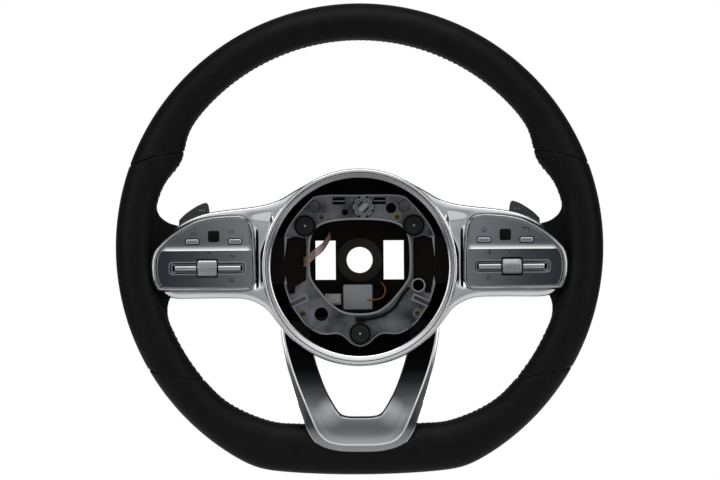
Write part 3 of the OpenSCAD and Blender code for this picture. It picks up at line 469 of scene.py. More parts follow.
# The rim: the same law of width and section as in the part, with finer steps
RIM_R, RISE, FLAT_DROP, FLAT_R = 185, 10, 172.5, 720
RIM_W, BOTTOM_W, SWELL, THICK, MID = 28.2, 38.5, 6.8, 32, 52
SEAM_UP, SEAM_LOW, SLANT_UP, SLANT_LOW = 24.4, -34.9, 9, -10.2
ROOT_REACH, ROOT_HALF, ROOT_MID = 19.5, 7.3, 44.3
ROUND_SECTION, PUCKER, PUCKERS, CORNER = 95, 0.18, 110, 100
WELL = (0, -4.9)


def sin(degrees):
    return math.sin(math.radians(degrees))


def cos(degrees):
    return math.cos(math.radians(degrees))


def sign(x):
    return (x > 0) - (x < 0)


def rise_of(t):
    return math.degrees(math.asin(max(-1, min(1, sin(t)))))


def rim_out(t):
    c = (FLAT_R - FLAT_DROP) * sin(t)
    reach = c + math.sqrt(c * c - (FLAT_R - FLAT_DROP) ** 2 + FLAT_R ** 2)
    return RIM_R * (1 + (RIM_R / reach) ** CORNER) ** (-1 / CORNER)


def full_w(a):
    plain = RIM_W + 2 * ease(0, -25, a) + (BOTTOM_W - RIM_W - 2) * ease(-45, -70, a)
    return plain + SWELL * bell(a - 26, 4.6)


def fillet(a, b, x):
    """A quarter circle that rises from 0 at a to 1 at b."""
    t = min(1, max(0, (x - a) / (b - a)))
    return 1 - math.sqrt(1 - t * t)


def root(a):
    return fillet(12.2, 7.1, a) * fillet(-22, -12.4, a)


def slant(a):
    if a > SEAM_UP:
        return SLANT_UP * (90 - a) / (90 - SEAM_UP)
    if a < SEAM_LOW:
        return SLANT_LOW * (90 + a) / (90 + SEAM_LOW)
    return mix(SLANT_LOW, SLANT_UP, (a - SEAM_LOW) / (SEAM_UP - SEAM_LOW))


def rim_point(t, angle, shrink=0.0, proud=0.0):
    """A point of the rim's skin: t goes round the rim and angle round its section, in degrees."""
    c, s = cos(angle), sin(angle)
    turn = t - sign(cos(t)) * slant(rise_of(t)) / 2 * c
    a = rise_of(turn)
    r0 = root(a) if c < 0 else 0
    half = full_w(a) / 2
    reach = -c * half * (1 + ROOT_REACH * r0 / half) if c < 0 else 0
    bulge = math.sqrt(max(0, 1 - (reach / half) ** 2)) if c < 0 else abs(s)
    tongue = r0 * ROOT_HALF * math.sqrt(max(0, 1 - c ** 8)) if c < 0 else 0
    side = 0 if abs(s) < 1e-9 else sign(s)
    round_y = MID + side * (THICK / 2 - shrink + proud) * bulge
    flat_y = mix(MID, ROOT_MID, r0) + side * tongue
    depth = max(round_y, flat_y) if side > 0 else min(round_y, flat_y) if side < 0 else flat_y
    # Stitches pull the leather in along the inner edge
    pucker = PUCKER * (1 - r0) * ease(-0.9, -1, c) * abs(sin(turn * PUCKERS))
    inwards = (shrink - proud) * -c - reach + pucker
    outwards = (half - shrink + proud) * c
    r = rim_out(turn) - half + (inwards if c < 0 else outwards)
    return r * cos(turn), -depth, RISE + r * sin(turn)


def rim_piece(node, look, t0, t1, steps, around=56):
    ends = [(0.05, 1.3), (0.13, 0.6), (0.26, 0.26), (0.45, 0.07), (0.7, 0)]
    turns = [(t0 + d, s) for d, s in ends]
    turns += [(mix(t0 + 0.9, t1 - 0.9, i / steps), 0) for i in range(steps + 1)]
    for middle in (180 - 7.6, 7.6):
        if t0 < middle < t1:
            turns += [(middle + 0.1 * k, 0) for k in range(-8, 9)]
    turns += [(t1 - d, s) for d, s in reversed(ends)]
    turns.sort(key=lambda turn: turn[0])
    piece = laid_grid(node + "_leather", len(turns), around + 1,
                      lambda i, j: rim_point(turns[i][0], 360 * j / around, turns[i][1]),
                      lambda i, j: (math.radians(turns[i][0]) * (RIM_R - RIM_W / 2),
                                    ROUND_SECTION * j / around))
    close_and_turn_out(piece)
    finish(piece, look, node, 60)


RIM_SECTIONS = [("rim_top", NAPPA, SEAM_UP, 180 - SEAM_UP, 330),
                ("rim_left_grip", PERFORATED, 180 - SEAM_UP, 180 - SEAM_LOW, 200),
                ("rim_right_grip", PERFORATED, SEAM_LOW, SEAM_UP, 200),
                ("rim_bottom", NAPPA, 180 - SEAM_LOW, 360 + SEAM_LOW, 280)]
for section in RIM_SECTIONS:
    rim_piece(*section)


# The hand-sewn seam along the inner edge: short slanted stitches that leave the spokes' roots free
def stitches(node, t0, t1, pitch=4.6, radius=0.32, long=3.4):
    count = int(math.radians(t1 - t0) * (RIM_R - RIM_W) / pitch)
    bpy.ops.mesh.primitive_cylinder_add(vertices=6, radius=radius * MM, depth=long * MM)
    first = bpy.context.object
    apply_modifier(first, "BEVEL", width=0.18 * MM, segments=1)
    kept = []
    for k in range(count):
        t = t0 + (k + 0.5) * (t1 - t0) / count
        if root(rise_of(t)) > 0.02:
            continue
        here, ahead = (Vector(rim_point(t + d, 180)) * MM for d in (0, 0.6))
        lie = ((ahead - here).normalized() * 0.45 + Vector((0, 1, 0))).normalized()
        stitch = placed(f"stitch_{k}", first.data.copy())
        stitch.data.transform(Matrix.Translation(here) @ lie.to_track_quat("Z", "X").to_matrix().to_4x4())
        kept.append(stitch)
    bpy.data.objects.remove(first)
    beside(join(kept, node + "_stitches"), THREAD, node, 60)


for node, _, t0, t1, _ in RIM_SECTIONS:
    stitches(node, t0 + 1, t1 - 1)

# The bezel: the part's outline with finer steps, eased edges and a hollow beside each pod
WELL_R, RING_W, BEZEL_LIP = 67.5, 3.8, 75.3
BEZEL_IN = WELL_R + RING_W + 0.3
BEZEL_BACK, BEZEL_FACE = 52, 60
PANEL_LINE = [[153.4, -2], [151.6, 6], [147.1, 11.9], [141, 17.6], [132.3, 23.6], [122.7, 28.3],
              [113.2, 30.8], [104, 32], [92.2, 32.4], [86.2, 30.4], [83.2, 25], [81.8, 15], [81, -9.9],
              [81.9, -16.9], [87.1, -20.2], [115, -20.3], [146.2, -20], [150.6, -17.6], [152.8, -12]]


def round_well(radius, angles):
    return [[WELL[0] + radius * cos(a), WELL[1] + radius * sin(a)] for a in angles]


def mirrored(outline):
    return [[-x, z] for x, z in reversed(outline)]


def scoop(x, z):
    """The hollow beside each pod: a narrow groove at its middle, and a softer wall on the hub's side."""
    groove = 2.5 * ease(76.3, 78.6, x) * ease(-23, -14, z) * ease(28, 16, z)
    wall = 73.9 - 7.4 * ease(3, 29, z)
    soft = mix(1.9, 3.2, ease(0, 18, z)) * ease(wall - 1.8, wall + 1.9, x) * ease(-23, -14, z)
    rise = 0.3 * max(0, x - 78.7) * ease(30, 12, z) + 0.14 * max(0, x - wall - 2) * ease(4, 28, z)
    return max(0, groove + soft - rise) * ease(-26, -19, z) * ease(38.5, 29, z) * ease(88, 83, x)


BEZEL_HALF = (round_well(BEZEL_LIP, range(-90, -34, 11))
              + [[69.8, -37.6], [76.9, -32.5], [84, -29.6], [92, -28.4], [110, -28.2], [128, -28.4],
                 [138, -28.3], [144.6, -26.7], [149.2, -23], [151.7, -17.5], [152.4, -10], [151.8, 0],
                 [149, 11], [143.5, 20.5], [134.8, 28.9], [125, 33.6], [114.9, 36.6], [101, 38.7],
                 [85.4, 40.4], [74.9, 41.9], [65.5, 44.2], [57.6, 47.7], [50.2, 52.2]]
              + round_well(74.4, range(57, 91, 11)))
BEZEL_LINE = curve(both_halves(BEZEL_HALF), 8)


def gaps_to(line, points, closed=False):
    """How far each point lies from a line through corners."""
    ends = line[1:] + line[:1] if closed else line[1:]
    pairs = numpy.array([(a, b) for a, b in zip(line, ends)])
    start, along = pairs[:, 0], pairs[:, 1] - pairs[:, 0]
    off = numpy.array(points)[:, None, :] - start[None]
    t = numpy.clip((off * along).sum(2) / numpy.maximum((along ** 2).sum(1), 1e-9), 0, 1)
    return numpy.sqrt(((off - t[..., None] * along) ** 2).sum(2).min(1))


def chain(points):
    """The outline's height over x, for one run of points that goes one way."""
    ordered = sorted(points)
    xs, zs = zip(*ordered)
    return lambda x: float(numpy.interp(x, xs, zs))


tip = max(range(len(BEZEL_LINE)), key=lambda k: BEZEL_LINE[k][0])
upper_half = [k for k, (_, z) in enumerate(BEZEL_LINE) if z > 0]
half_way = min(upper_half, key=lambda k: abs(BEZEL_LINE[k][0]))
low_edge, high_edge = chain(BEZEL_LINE[:tip + 1]), chain(BEZEL_LINE[tip:half_way + 1])
REACH = BEZEL_LINE[tip][0] - 0.02
half_xs = [2.5 * k for k in range(24)] + [60 + 0.8 * k for k in range(5)]
half_xs += [64 + 0.35 * k for k in range(52)] + [82.5 + 1.1 * k for k in range(61)]
half_xs += [REACH - d for d in (2.4, 1.5, 0.8, 0.3, 0)]
COLUMN_XS = [-x for x in reversed(half_xs[1:])] + half_xs
NEAR_EDGE = [0, 0.15, 0.35, 0.6, 0.9, 1.3, 1.9, 2.7, 3.7, 5, 6.5, 8.5]
BEZEL_ROWS, CROWN, EDGE_FALL, EDGE_WIDTHS = 44, 0.3, 1.3, (6, 1.1)
columns = []
for x in COLUMN_XS:
    low, high = low_edge(abs(x)), high_edge(abs(x))
    k = min(1, (high - low) / 20)
    zs = [low + d * k for d in NEAR_EDGE]
    zs += [mix(low + 8.5 * k, high - 8.5 * k, (i + 1) / (BEZEL_ROWS + 1)) for i in range(BEZEL_ROWS)]
    zs += [high - d * k for d in reversed(NEAR_EDGE)]
    columns.append([(x, z) for z in zs])
distances = iter(gaps_to(BEZEL_LINE, [point for column in columns for point in column], closed=True))
bezel_rows = []
for column in columns:
    section = [(column[0][0], -BEZEL_BACK, column[0][1])]
    for x, z in column:
        e = next(distances)
        eased = sum(EDGE_FALL * (1 - min(1, e / width)) ** 2 for width in EDGE_WIDTHS)
        depth = BEZEL_FACE + CROWN - eased - scoop(abs(x), z)
        section.append((x, -depth, z))
    bezel_rows.append(section + [(column[-1][0], -BEZEL_BACK, column[-1][1])])
bezel = skin("bezel_lacquered", bezel_rows)
PANEL_FINE = curve(PANEL_LINE, 6)
FINE_TURN = [2 * k for k in range(180)]
cut(bezel, *[outline_prism(name, outline, BEZEL_BACK - 2, BEZEL_FACE + 6) for name, outline in (
    ("right_pocket", PANEL_FINE), ("left_pocket", mirrored(PANEL_FINE)),
    ("hub_opening", round_well(BEZEL_IN, FINE_TURN)))])
finish(bezel, SILVER, "bezel", 40)


def turned(name, middle, profile, steps):
    """A turned piece: the profile holds (radius, depth) and goes round the point middle."""
    return skin(name, [[(middle[0] + r * cos(t), -depth, middle[1] + r * sin(t)) for r, depth in profile]
                       for t in [360 * (i % steps) / steps for i in range(steps + 1)]])


# The collar that the bezel raises round the hub, and the hub's ring, whose face slopes inwards
COLLAR = [(0.05, 59), (0.05, 60.6), (0.25, 60.95), (1.1, 61.25), (1.9, 61.0), (2.45, 60.5), (2.6, 59.9),
          (2.6, 59)]
HUB_RING = [(0, 47), (0, 60.0), (0.2, 60.4), (0.6, 60.7), (2.0, 61.2), (2.9, 61.6), (3.3, 61.7),
            (3.6, 61.5), (RING_W, 61.0), (RING_W, 47)]
beside(turned("bezel_collar", WELL, [(BEZEL_IN + r, depth) for r, depth in COLLAR], 240), SILVER, "bezel")
finish(turned("hub_ring_anodised", WELL, [(WELL_R + r, depth) for r, depth in HUB_RING], 240), RING,
       "hub_ring", 50)

# The trim of the lower spoke: a band outside the crease and a hollowed face inside it
TRIM_OUTER = [[60.2, -52], [59.2, -61], [56, -78], [52.2, -93.4], [47.8, -108], [43, -121.5],
              [37.2, -133.5], [29.5, -141.5], [19, -145], [9, -145.9], [0, -146]]
TRIM_INNER = [[38.2, -54], [36.6, -63], [33.9, -76], [30, -88], [25.8, -98.5], [21, -107.5], [17.3, -113.5],
              [14.3, -116.7], [10, -118], [5, -118.3], [0, -118.3]]


def full_u(points):
    half = open_curve(points, 10)
    return [[-x, z] for x, z in half] + half[-2::-1]


def band_share(o, w):
    """How much of the way from the outer line to the window the band takes up."""
    return mix(2.2, 6.9, ease(-58, -126, (o[1] + w[1]) / 2)) / math.dist(o, w)


def trim_section(o, w):
    z = (o[1] + w[1]) / 2
    low = ease(-58, -126, z)
    top = 52.5 + 17.3 * low
    back = 50.4 + 10 * ease(-66, -112, z)
    c = band_share(o, w)
    crease = 0.6 / math.dist(o, w)

    def at(t, depth):
        return (mix(o[0], w[0], t), -depth, mix(o[1], w[1], t))

    band = open_curve([at(0, top - mix(0.8, 2.5, low)), at(c * 0.3, top - mix(0.55, 1.7, low)),
                       at(c - crease, top - mix(0.08, 0.25, low))], 4)
    face = open_curve([at(c + crease, top - mix(0.03, 0.1, low)),
                       at(mix(c, 1, 0.25), top - mix(0.5, 1.9, low)),
                       at(mix(c, 1, 0.55), top - mix(0.7, 2.7, low)),
                       at(mix(c, 1, 0.85), top - mix(0.9, 3.0, low)),
                       at(0.965, top - mix(1.2, 3.7, low)), at(1, top - mix(1.6, 6, low))], 4)
    return [at(0, back)] + band + face + [at(1, back)]


TRIM_RIM, TRIM_WINDOW = full_u(TRIM_OUTER), full_u(TRIM_INNER)
trim = skin("lower_spoke_trim_plated", [trim_section(o, w) for o, w in zip(TRIM_RIM, TRIM_WINDOW)])
cut(trim, outline_prism("under_bezel", round_well(BEZEL_LIP + 0.3, FINE_TURN), 48, 72))
CREASE_LINE = [Vector(o).lerp(w, band_share(o, w))[:] for o, w in zip(TRIM_RIM, TRIM_WINDOW)]
centres = [tuple(face.center[k] / MM for k in (0, 2)) for face in trim.data.polygons]
gaps = [gaps_to(line, centres) for line in (CREASE_LINE, TRIM_RIM, TRIM_WINDOW)]


def trim_region(centre, to_crease, to_edge, to_window):
    """The crease and edge with their painted highlight, the outer band with the window's wall, or the hollowed
    face.
    """
    if to_crease < 0.6 or to_edge < 0.45:
        return 2
    return 0 if to_window < 0.8 or not inside(CREASE_LINE, *centre) else 1


trim_looks = map(trim_region, centres, *gaps)
finish(trim, [TRIM_BAND, TRIM_FACE, TRIM_EDGE], "lower_spoke_trim", 28, choose=lambda middle: next(trim_looks))


# The pods: a swept bright frame, a panel film, and a fine outline round the slot
def offset_outline(outline, out, extra=0.0):
    """The outline moved outwards by out, and by extra more where it faces the rim."""
    area = sum(a[0] * b[1] - b[0] * a[1] for a, b in zip(outline, outline[1:] + outline[:1]))
    way = 1 if area > 0 else -1
    moved = []
    for before, here, after in zip(outline[-1:] + outline[:-1], outline, outline[1:] + outline[:1]):
        d = (Vector(after) - Vector(before)).normalized()
        n = Vector((d.y, -d.x)) * way
        moved.append((Vector(here) + n * (out + extra * max(0, n.x))).to_tuple())
    return moved


def swept_band(name, outline, profile, side):
    """A closed band: the profile holds (offset, extra, depth) and goes round the outline."""
    rings = [offset_outline(outline, out, extra) for out, extra, _ in profile]
    rows = [[(side * ring[i][0], -depth, ring[i][1]) for ring, (_, _, depth) in zip(rings, profile)]
            for i in range(len(outline))]
    return skin(name, rows + rows[:1])


FILM_FROM, FILM_STEP, FILM_STEPS = 76, 4, 21
FRAME_W, FRAME_END = 2.4, 2.2
FRAME_PROFILE = [(0.5, 0, 60.6), (0.5, 0, 64.7), (0.62, 0, 65.1), (0.85, 0, 65.3), (1.2, 0.2, 65.3),
                 (1.6, 0.7, 65.05), (1.9, 1.2, 64.6), (2.2, 1.8, 63.9), (2.35, 2.1, 63.2),
                 (FRAME_W, FRAME_END, 62.6), (FRAME_W, FRAME_END, 60.6)]
# A black band under the frame's outer edge: a painted shadow gap between the frame and the bezel
FRAME_SHADOW_PROFILE = [(1.7, 1.5, 60.2), (1.7, 1.5, 61.5), (FRAME_W + 0.4, FRAME_END + 0.3, 61.5),
                 (FRAME_W + 0.4, FRAME_END + 0.3, 60.2)]
SLOT_PROFILE = [(0.75, 0, 64.4), (0.75, 0, 65.02), (0.5, 0, 65.1), (0.25, 0, 65.08), (0.0, 0, 64.95),
                (-0.4, 0, 64.3), (-0.75, 0, 63.5), (-1.0, 0, 62.75), (-1.85, 0, 62.6), (-1.9, 0, 62.0),
                (0.75, 0, 62.0)]
# A thin black band round each button: a painted shadow gap
BUTTON_SHADOW_PROFILE = [(0.05, 0, 63.2), (0.05, 0, 63.85), (0.55, 0, 63.87), (0.6, 0, 63.2)]
ROLLED_EDGE = [(-0.15, -0.4), (-0.15, 0.1), (-0.4, 0.22), (-0.75, 0.18), (-0.95, -0.4)]


def rounded_rectangle(x, z, width, height, radius, steps=6):
    points = []
    for quarter, (i, j) in enumerate([(1, 1), (-1, 1), (-1, -1), (1, -1)]):
        middle = (x + i * (width / 2 - radius), z + j * (height / 2 - radius))
        points += [(middle[0] + radius * cos(90 * quarter + 90 * k / steps),
                    middle[1] + radius * sin(90 * quarter + 90 * k / steps)) for k in range(steps + 1)]
    return points


BUTTON_NAMES = ("inner", "outer")
BUTTON_DOME = [(0, 61.2), (0, 64.0), (0.1, 64.25), (0.35, 64.5), (0.75, 64.72), (1.2, 64.82), (1.65, 64.85)]


def domed(name, rectangle, rings, lean=0.0):
    """A key with rounded corners: rings holds (shrink, depth), and lean turns it in its plane."""
    x, z, width, height, radius = rectangle
    outlines = []
    for shrink, _ in rings:
        ring = rounded_rectangle(0, 0, width - 2 * shrink, height - 2 * shrink, max(0.04, radius - shrink))
        outlines.append([(x + a * cos(lean) - b * sin(lean), z + a * sin(lean) + b * cos(lean))
                         for a, b in ring])
    return skin(name, [[(a, -depth, b) for a, b in outline] for outline, (_, depth) in zip(outlines, rings)])


SLOT_MID, SLOT_W, SLOT_H = (115.2, -5.2), 56.7, 8.3
PANEL_FRONT, PANEL_HIGH, PANEL_BACK = 65, 63.8, 61.8
PAD_AT, PAD_W, BUTTON_Z, BUTTON_XS = (110.2, 18.8), 8.2, 14.9, (94.1, 126.4)
PANEL_HOLES = [(*SLOT_MID, SLOT_W, SLOT_H, 1.2), (*SLOT_MID, 15.9, 14.0, 1.0),
               (*PAD_AT, PAD_W + 0.5, PAD_W + 0.5, 1.7)]
PANEL_HOLES += [(x, BUTTON_Z, 10.2, 4.3, 1.0) for x in BUTTON_XS]
PANEL_ZS = [-24, -10, 0, 6, 7.6, 7.9, 8.02, LEDGE_FOOT, 8.16, 8.25, 8.4, 8.7, 9.1, 9.6, 10.2, 10.9,
            11.7, 12.5, LEDGE_TOP, 14, 16, 24, 36]


def panel_depth(z):
    """The ledge between the panel's two levels hollows out until it ends in a sharp crest."""
    t = min(1, max(0, (LEDGE_TOP - z) / (LEDGE_TOP - LEDGE_FOOT)))
    return mix(PANEL_HIGH, PANEL_FRONT, t ** 2.2)


def panel_section(x):
    front = [(x, -panel_depth(z), z) for z in PANEL_ZS]
    return [(x, -PANEL_BACK, PANEL_ZS[0])] + front + [(x, -PANEL_BACK, PANEL_ZS[-1])]


def sided(outline, side):
    return outline if side > 0 else mirrored(outline)


for side, name in ((-1, "left"), (1, "right")):
    pod_frame, pod_panel = name + "_pod_frame", name + "_switch_panel"
    finish(swept_band(name + "_frame_plated", PANEL_FINE, FRAME_PROFILE, side), FRAME, pod_frame, 28)
    beside(swept_band(name + "_frame_shadow_gap", PANEL_FINE, FRAME_SHADOW_PROFILE, side), BLACK, pod_frame, 28)
    rolled = [offset_outline(PANEL_FINE, out) for out, _ in ROLLED_EDGE]
    rows = [[(side * ring[i][0], -panel_depth(ring[i][1]) - lift, ring[i][1])
             for ring, (_, lift) in zip(rolled, ROLLED_EDGE)] for i in range(len(PANEL_FINE))]
    beside(skin(name + "_rolled_edge", rows + rows[:1]), KEY, pod_panel, 40)
    panel = skin(name + "_panel_film", [panel_section(side * FILM_FROM + side * FILM_STEP * k)
                                        for k in range(FILM_STEPS)])
    keep = outline_prism("panel_outline", sided(PANEL_FINE, side), PANEL_BACK - 2, PANEL_FRONT + 2)
    apply_modifier(panel, "BOOLEAN", operation="INTERSECT", solver="EXACT", object=keep)
    bpy.data.objects.remove(keep)
    cut(panel, *[outline_prism("hole", sided(rounded_rectangle(*hole), side), PANEL_BACK - 3, PANEL_FRONT + 3)
                 for hole in PANEL_HOLES])
    finish(panel, PANEL, pod_panel, 24)
    slot_line = rounded_rectangle(*SLOT_MID, SLOT_W, SLOT_H, 2.0)
    slot_band = swept_band(name + "_slot_outline", slot_line, SLOT_PROFILE, side)
    roller_gap = rounded_rectangle(*SLOT_MID, 16.4, 16, 0.6)
    cut(slot_band, outline_prism("roller_gap", sided(roller_gap, side), 60, 68))
    beside(slot_band, [KEY, SLOT_WALL], pod_panel, 30, lambda middle: 1 if -middle.y < 64.95 else 0)
    for k, x in enumerate(BUTTON_XS):
        button_line = rounded_rectangle(x, BUTTON_Z, 9.9, 4.0, 0.9)
        shadow_gap = swept_band(f"{name}_button_shadow_gap_{k}", button_line, BUTTON_SHADOW_PROFILE, side)
        beside(shadow_gap, BLACK, pod_panel, 30)
        button = domed(f"{name}_button_{k}", (side * x, BUTTON_Z, 9.7, 3.8, 0.85), BUTTON_DOME)
        finish(button, FRAME, f"{name}_{BUTTON_NAMES[k]}_button", 40)
    pad = outline_prism(name + "_pad_lens", sided(rounded_rectangle(*PAD_AT, PAD_W, PAD_W, 1.6), side),
                        PANEL_BACK - 1, PANEL_HIGH + 0.25)
    apply_modifier(pad, "BEVEL", width=0.3 * MM, segments=3, limit_method="ANGLE",
                   angle_limit=math.radians(50))
    finish(pad, GLOSS, name + "_touch_pad", 40)


# Printed marks: strokes as flattened round cords, in mm from the mark's middle
def stroke_mark(name, node, middle, depth, strokes, look, width):
    parts = []
    for k, (points, closed) in enumerate(strokes):
        data = bpy.data.curves.new(f"{name}_{k}", "CURVE")
        data.dimensions = "3D"
        data.bevel_depth = width / 2 * MM
        data.bevel_resolution = 1
        spline = data.splines.new("POLY")
        spline.points.add(len(points) - 1)
        for point, (x, z) in zip(spline.points, points):
            point.co = ((middle[0] + x) * MM, 0, (middle[1] + z) * MM, 1)
        spline.use_cyclic_u = closed
        data.use_fill_caps = True
        part = placed(f"{name}_{k}", data)
        only(part)
        bpy.ops.object.convert(target="MESH")
        part.data.transform(Matrix.Translation((0, -depth * MM, 0)) @ Matrix.Scale(0.15, 4, (0, 1, 0)))
        parts.append(part)
    mark = join(parts, name)
    edit(mark, merge, outward)
    beside(mark, look, node, 60)


def arc(x, z, radius, start, end, steps=8):
    return [(x + radius * cos(mix(start, end, k / steps)), z + radius * sin(mix(start, end, k / steps)))
            for k in range(steps + 1)]


STAR = [(r * cos(90 + 36 * k), r * sin(90 + 36 * k)) for k, r in enumerate([2.2, 0.95] * 5)]
HOUSE = [([(-1.7, -1.9), (-1.7, 0.2), (-2.3, 0), (0, 2.2), (2.3, 0), (1.7, 0.2), (1.7, -1.9)], True),
         ([(-0.5, -1.7), (-0.5, -0.3), (0.5, -0.3), (0.5, -1.7)], False)]
BACK = [([(-0.9, 2), (-2.4, 0.9), (-0.9, -0.2)], False),
        ([(-2.2, 0.9), (1, 0.9)] + arc(1, -0.4, 1.3, 90, -60, 6), False)]
WAVES = [(arc(-1.5, 0, r, -45, 45), False) for r in (1.1, 2.1, 3.1)]
HANDSET = [([(-2.6, -1.3), (-1.3, -0.9), (-1.2, 0), (1.2, 1.0), (1.7, 0.4), (2.7, 1.1)], False)]
PLUS = [([(-0.9, 0), (0.9, 0)], False), ([(0, -0.9), (0, 0.9)], False)]
MINUS = [([(-0.9, 0), (0.9, 0)], False)]
GAUGE = [(arc(0, -0.8, 2.2, 10, 170), False), ([(0, -0.8), (1, 0.6)], False)]
CAR_GAP = [([(-2.4, -0.6), (-1.6, 0.8), (-0.1, 0.8), (0.6, -0.6)], True), ([(1.2, 0.8), (2.6, 0.8)], False),
           ([(1.2, -0.6), (2.6, -0.6)], False)]
LINES = [([(-2.2, z), (2.2, z)], False) for z in (-1.2, 0, 1.2)]
DOWN = [(x, -z) for x, z in HANDSET[0][0]]
UPPER, LOWER = PANEL_HIGH + 0.01, PANEL_FRONT + 0.01
MARKS = {"right": [("home", (94.4, 22.8), UPPER, HOUSE), ("back", (126.2, 22.9), UPPER, BACK),
                   ("voice", (97.6, 5.6), LOWER, WAVES), ("star", (97.6, -13.8), LOWER, [(STAR, True)]),
                   ("call", (132, 5.7), LOWER, HANDSET), ("hang_up", (132, -12.9), LOWER, [(DOWN, False)]),
                   ("louder", (113.6, 6.4), LOWER, PLUS), ("quieter", (113.4, -15.4), LOWER, MINUS)],
         "left": [("distance", (-125.2, 20.8), UPPER, CAR_GAP), ("limit", (-96.6, 21.6), UPPER, GAUGE),
                  ("faster", (-113.5, 6.2), LOWER, PLUS), ("slower", (-113.5, -16), LOWER, MINUS),
                  ("lane", (-96.8, 3.2), LOWER, GAUGE), ("list", (-97, -14.4), LOWER, LINES)]}
for side, marks in MARKS.items():
    for name, middle, depth, strokes in marks:
        stroke_mark(name + "_mark", side + "_switch_panel", middle, depth, strokes, INK, 0.55)
ONE_DASH = [([(-2.2, 0), (2.2, 0)], False)]
TWO_DASHES = [([(-2.3, 0), (-0.6, 0)], False), ([(0.6, 0), (2.3, 0)], False)]
for side, s, dashes in (("left", -1, ONE_DASH), ("right", 1, TWO_DASHES)):
    front = -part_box(side + "_paddle")[0][1] / MM + 0.02
    stroke_mark(side + "_paddle_mark", side + "_paddle", (s * 120.6, 38.8), front, dashes, PALE_INK, 0.5)

# The finely knurled roller: a ridged barrel with rounded ends
ROLLER_R, ROLLER_W, ROLLER_MID, RIDGES, RIDGE_HIGH = 6.7, 14.7, 61.2, 66, 0.11
ROLLER_AT = Vector((SLOT_MID[0], -ROLLER_MID, SLOT_MID[1])) * MM
bpy.ops.mesh.primitive_cylinder_add(vertices=4 * RIDGES, radius=ROLLER_R * MM, depth=(ROLLER_W - 1.4) * MM,
                                    rotation=(0, math.radians(90), 0), location=ROLLER_AT)
roller = bpy.context.object
roller.name = "roller_knurled"
bpy.ops.object.transform_apply(location=True, rotation=True, scale=True)
for vertex in roller.data.vertices:
    spoke = vertex.co - ROLLER_AT
    spoke.x = 0
    turn = math.degrees(math.atan2(spoke.z, spoke.y)) % 360
    vertex.co -= spoke.normalized() * (RIDGE_HIGH * (1 - cos(turn * RIDGES)) / 2) * MM
edit(roller, lambda: bpy.ops.mesh.select_mode(type="FACE"),
     lambda: bpy.ops.mesh.select_all(action="DESELECT"))
for face in roller.data.polygons:
    face.select = len(face.vertices) > 4
for out_by, shrink in ((0.35, 0.975), (0.35, 0.93)):
    bpy.ops.object.mode_set(mode="EDIT")
    bpy.ops.mesh.extrude_region_move()
    bpy.ops.object.mode_set(mode="OBJECT")
    for k in {v for face in roller.data.polygons if face.select for v in face.vertices}:
        spoke = roller.data.vertices[k].co - ROLLER_AT
        moved = (spoke.x + sign(spoke.x) * out_by * MM, spoke.y * shrink, spoke.z * shrink)
        roller.data.vertices[k].co = ROLLER_AT + Vector(moved)
finish(roller, KEY, "right_roller", 50)

# The rocker: two faces that meet in a low ridge, with rounded ends
ROCKER_FRONT = -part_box("left_rocker")[0][1] / MM
half_section = [(0, 0), (0.35, 0.12), (1.6, 0.32), (3.2, 0.62), (4.6, 1.05), (5.6, 1.7), (6.2, 2.6),
                (6.35, 3.6), (6.35, 6.2)]
rocker_section = [(-z, d) for z, d in reversed(half_section[1:])] + half_section
ROCKER_XS = [(-7.4, 0.9), (-7.3, 0.45), (-6.9, 0.12), (-6.3, 0)]
ROCKER_XS += [(-x, fall) for x, fall in reversed(ROCKER_XS)]
rocker_rows = [[(-SLOT_MID[0] + x, -(ROCKER_FRONT - d - fall), SLOT_MID[1] + z * (1 - fall / 12))
                for z, d in rocker_section] for x, fall in ROCKER_XS]
finish(skin("left_rocker_plated", rocker_rows), KEY, "left_rocker", 40)

# The deck of the casting is bare inside this line, and small turned ridges and rings stand on it
DECK_LINE = curve(both_halves([[0, -66], [6.9, -63.4], [12, -58.6], [18, -56], [29.2, -56.3], [40.4, -50.3],
                               [48.5, -40], [53.6, -31], [58.2, -15], [59.1, 1.6], [56.8, 19.8], [50, 32],
                               [39.3, 44.1], [30.3, 49.5], [0, 49.7]]), 3)
DECK_FRONT = 38


def casting_region(middle):
    """Bare cast deck, machined edges that stand proud of it with a painted highlight, and black paint
    everywhere else, which also stands for the shade of the deep well.
    """
    if -middle.y < DECK_FRONT - 1.8 or not inside(DECK_LINE, middle.x * 0.997, middle.z * 0.997):
        return 2
    boss = math.hypot(abs(middle.x) - 36.8, middle.z + 47.6) < 4.3
    return 1 if -middle.y > DECK_FRONT + 0.3 and not boss else 0


RIDGE_PROFILE = [(-0.35, -0.1), (-0.15, 0.12), (0.15, 0.12), (0.35, -0.1)]
PIN_PROFILE = [(0.01, -0.6), (0.9, -0.6), (0.9, 0), (0.6, 0.25), (0.01, 0.3)]
for node in ("plunger_left", "plunger_right", "plunger_lower"):
    low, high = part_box(node)
    middle = ((low[0] + high[0]) / 2 / MM, (low[2] + high[2]) / 2 / MM)
    front = -low[1] / MM
    for k, radius in enumerate((5.4, 3.4)):
        ridge = [(radius + out, front + up) for out, up in RIDGE_PROFILE]
        beside(turned(f"{node}_ridge_{k}", middle, ridge, 48), UNIT, node)
    beside(turned(node + "_pin", middle, [(r, front + up) for r, up in PIN_PROFILE], 24), KEY, node)
SCREWS = [(-28.9, 32.8), (28.9, 32.8), (-43.6, -40.5), (43.6, -40.5)]
